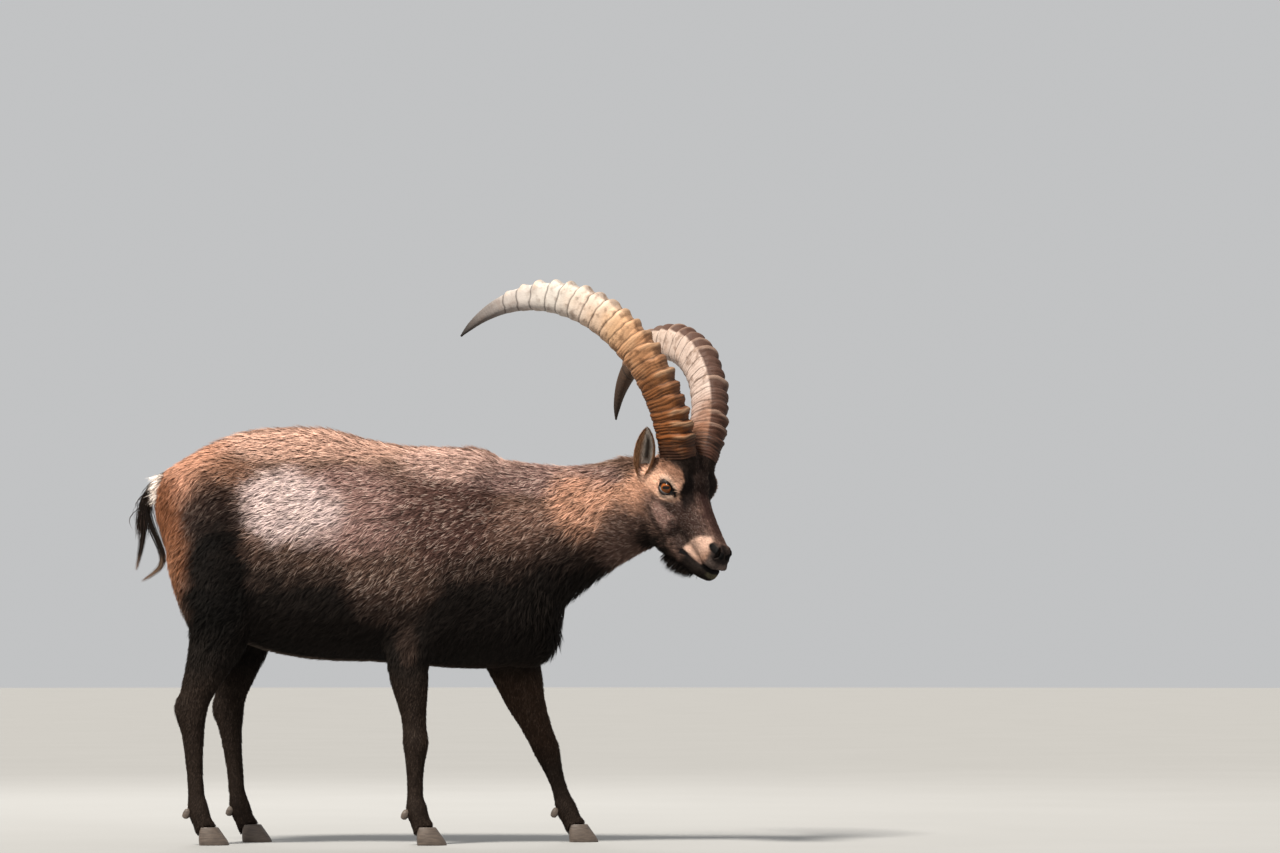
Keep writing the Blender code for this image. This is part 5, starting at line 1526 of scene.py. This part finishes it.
core = drawn_line(TAIL_BONE, DOCK_ROWS, 3)
ahead = unit(np.gradient(core, axis=0))
side_way = np.tile(np.array((0.0, 1.0, 0.0)), (DOCK_ROWS, 1))
up_way = np.cross(ahead, side_way)
turn = 2 * np.pi * np.arange(DOCK_AROUND) / DOCK_AROUND
half = 0.0125 - 0.0075 * np.linspace(0, 1, DOCK_ROWS)
half[-1] = 0.001
tail_verts = (core[:, None] + side_way[:, None] * (half[:, None] * np.cos(turn))[..., None]
              + up_way[:, None] * (0.62 * half[:, None] * np.sin(turn))[..., None]).reshape(-1, 3)
a, b = tube_corners(DOCK_ROWS, DOCK_AROUND)
quads = np.stack((a, b, b + DOCK_AROUND, a + DOCK_AROUND), 1)
dock = new_piece("tail_dock", tail_verts, quads, skin_material)
paint(dock.data, "marks", dark_hair(tail_verts, None))

# %% [markdown]
# Each hair of the tail starts on the dock and leans out before it falls.

# %% Hair of the tail
count = 1100
spot = random.uniform(0.10, 1.0, count) * (DOCK_ROWS - 1)
base = np.stack([np.interp(spot, np.arange(DOCK_ROWS), core[:, k]) for k in range(3)], 1)
round_way = unit(np.stack((-0.35 + 0.5 * random.normal(size=count), random.normal(size=count),
                           0.4 * random.normal(size=count)), 1))
base = base + round_way * 0.006 * (1.1 - spot / 30)[:, None]
long = random.uniform(0.032, 0.066, count)
fall = unit(np.stack((-0.10 + 0.12 * random.normal(size=count), 0.13 * random.normal(size=count),
                      np.full(count, -1.0)), 1))
share = np.linspace(0, 1, 7)
path = base[:, None] + round_way[:, None] * (0.006 * share * (1 - 0.5 * share))[None, :, None] \
    + fall[:, None] * (long[:, None] * share)[..., None]
path[:, :, 0] += 0.006 * np.sin(3.0 * share)[None] * random.normal(size=(count, 1))


def tail_hair(verts, along):
    marks = np.tile(np.array((0.018, 0.013, 0.011, 0.10)), (len(verts), 1))
    marks = mix(marks, (0.240, 0.150, 0.100, 0.3), 0.7 * ease(design(verts)[:, 2], 0.655, 0.610))
    return mix(marks, (0.100, 0.060, 0.042, 0.3), 0.5 * ease(along, 0.7, 1.0))


round_share = 0.5 + np.arctan2(round_way[:, 1], round_way[:, 0]) / (2 * np.pi)
tail_places = np.stack((spot / (DOCK_ROWS - 1), round_share), 1)
tail_width = random.uniform(0.0010, 0.0022, count)
strands("tail", path, tail_places, tail_width, tail_hair, ("tail",), random)


def white_hair(verts, _):
    return np.tile(np.array((0.840, 0.760, 0.700, 0.0)), (len(verts), 1))


count = 700
sides = np.where(random.random(count) < 0.5, -1.0, 1.0)
base = np.stack((random.normal(-0.600, 0.006, count), sides * random.uniform(0.010, 0.036, count),
                 random.uniform(0.776, 0.830, count)), 1) + np.array(SHIFT)
aim = np.stack((np.full(count, -0.75), 0.20 * sides, np.full(count, -0.55)), 1)
aim = unit(aim + 0.20 * random.normal(size=(count, 3)))
path = base[:, None] + aim[:, None] * (random.uniform(0.022, 0.036, count)[:, None] * share)[..., None]
white_places = (base[:, 1:] - base[:, 1:].min(0)) / np.ptp(base[:, 1:], axis=0)
white_width = random.uniform(0.0008, 0.0016, count)
strands("rump_white", path, white_places, white_width, white_hair, (), random)

WISPS = (  # name, places, strands, spread in metres
    ("tail_wisp_back",
     ((-0.645, -0.004, 0.762), (-0.643, -0.006, 0.720), (-0.645, -0.006, 0.684),
      (-0.652, -0.008, 0.645), (-0.660, -0.009, 0.613)), 90, 0.0045),
    ("tail_wisp_front",
     ((-0.640, -0.010, 0.760), (-0.628, -0.012, 0.716), (-0.606, -0.015, 0.668),
      (-0.595, -0.016, 0.636), (-0.612, -0.017, 0.610), (-0.646, -0.018, 0.589)), 120, 0.0055),
)
WISP_STEPS = 14
to_tip = np.linspace(0, 1, WISP_STEPS)[None, :, None]
for name, points, count, spread in WISPS:
    line = drawn_line(points, WISP_STEPS, 2)
    off = random.normal(size=(count, 1, 3)) * spread * (1 - 0.7 * to_tip)
    path = line[None] + off + 0.0012 * random.normal(size=(count, 1, 3)) * to_tip
    places = 0.5 + off[:, 0, :2] / (6 * spread)
    strands(name, path, places, random.uniform(0.0007, 0.0014, count), tail_hair, (), random)
print("tail made")

# %% [markdown]
# Hooves and dewclaws keep the solids' shapes. Their faces are divided once and rounded, and
# dark horn with fine rings covers them.

# %% Hooves
def rounded_copy(name, nodes):
    """One piece that follows several CAD nodes, with their faces subdivided."""
    work = bmesh.new()
    for node in nodes:
        work.from_mesh(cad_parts[node].data)
    bmesh.ops.remove_doubles(work, verts=work.verts, dist=WELD)
    mesh = bpy.data.meshes.new(name)
    work.to_mesh(mesh)
    work.free()
    holder = bpy.data.objects.new(name + "_plain", mesh)
    scene.collection.objects.link(holder)
    crease = holder.modifiers.new("edge", "BEVEL")
    crease.width = 0.0012
    crease.segments = 2
    crease.limit_method = "ANGLE"
    crease.angle_limit = math.radians(40)
    smooth = holder.modifiers.new("round", "SUBSURF")
    smooth.levels = smooth.render_levels = 1
    graph = bpy.context.evaluated_depsgraph_get()
    done = bpy.data.meshes.new_from_object(holder.evaluated_get(graph))
    bpy.data.objects.remove(holder)
    done.name = name
    piece = bpy.data.objects.new(name, done)
    scene.collection.objects.link(piece)
    done.materials.clear()
    done.materials.append(hoof_material)
    done.shade_smooth()
    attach(piece, "root")
    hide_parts(*nodes)


hoof_material, tree, shader = new_material("hoof_horn", 0.45, 0.45)
hoof_noise = noise_node(tree, 60.0, 5.0, (1.0, 1.0, 6.0))
hoof_colour = mix_node(tree, hoof_noise, (0.014, 0.011, 0.010, 1), (0.120, 0.090, 0.070, 1))
tree.links.new(hoof_colour, shader.inputs["Base Color"])
add_bump(tree, shader, hoof_noise, 0.5, 0.0010)
tree.links.new(scale_node(tree, hoof_noise, 0.3, 0.32), shader.inputs["Roughness"])
HOOVES = [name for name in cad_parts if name.startswith("hoof_")]
DEWCLAWS = [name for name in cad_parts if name.startswith("dewclaw_")]
rounded_copy("hooves", HOOVES)
rounded_copy("dewclaws", DEWCLAWS)
print("hooves", len(HOOVES), "dewclaws", len(DEWCLAWS))

# %% [markdown]
# The floor is plain and pale, so nothing competes with the animal.

# %% Floor
floor_material, tree, shader = new_material("floor", 0.9, 0.2)
floor_noise = noise_node(tree, 2.0, 2.0)
floor_tint = mix_node(tree, floor_noise, (0.205, 0.205, 0.202, 1), (0.222, 0.222, 0.219, 1))
tree.links.new(floor_tint, shader.inputs["Base Color"])
bpy.ops.mesh.primitive_circle_add(vertices=64, radius=40, fill_type="NGON", location=(0, 0, 0))
floor = bpy.context.object
floor.name = "floor"
floor.data.materials.append(floor_material)
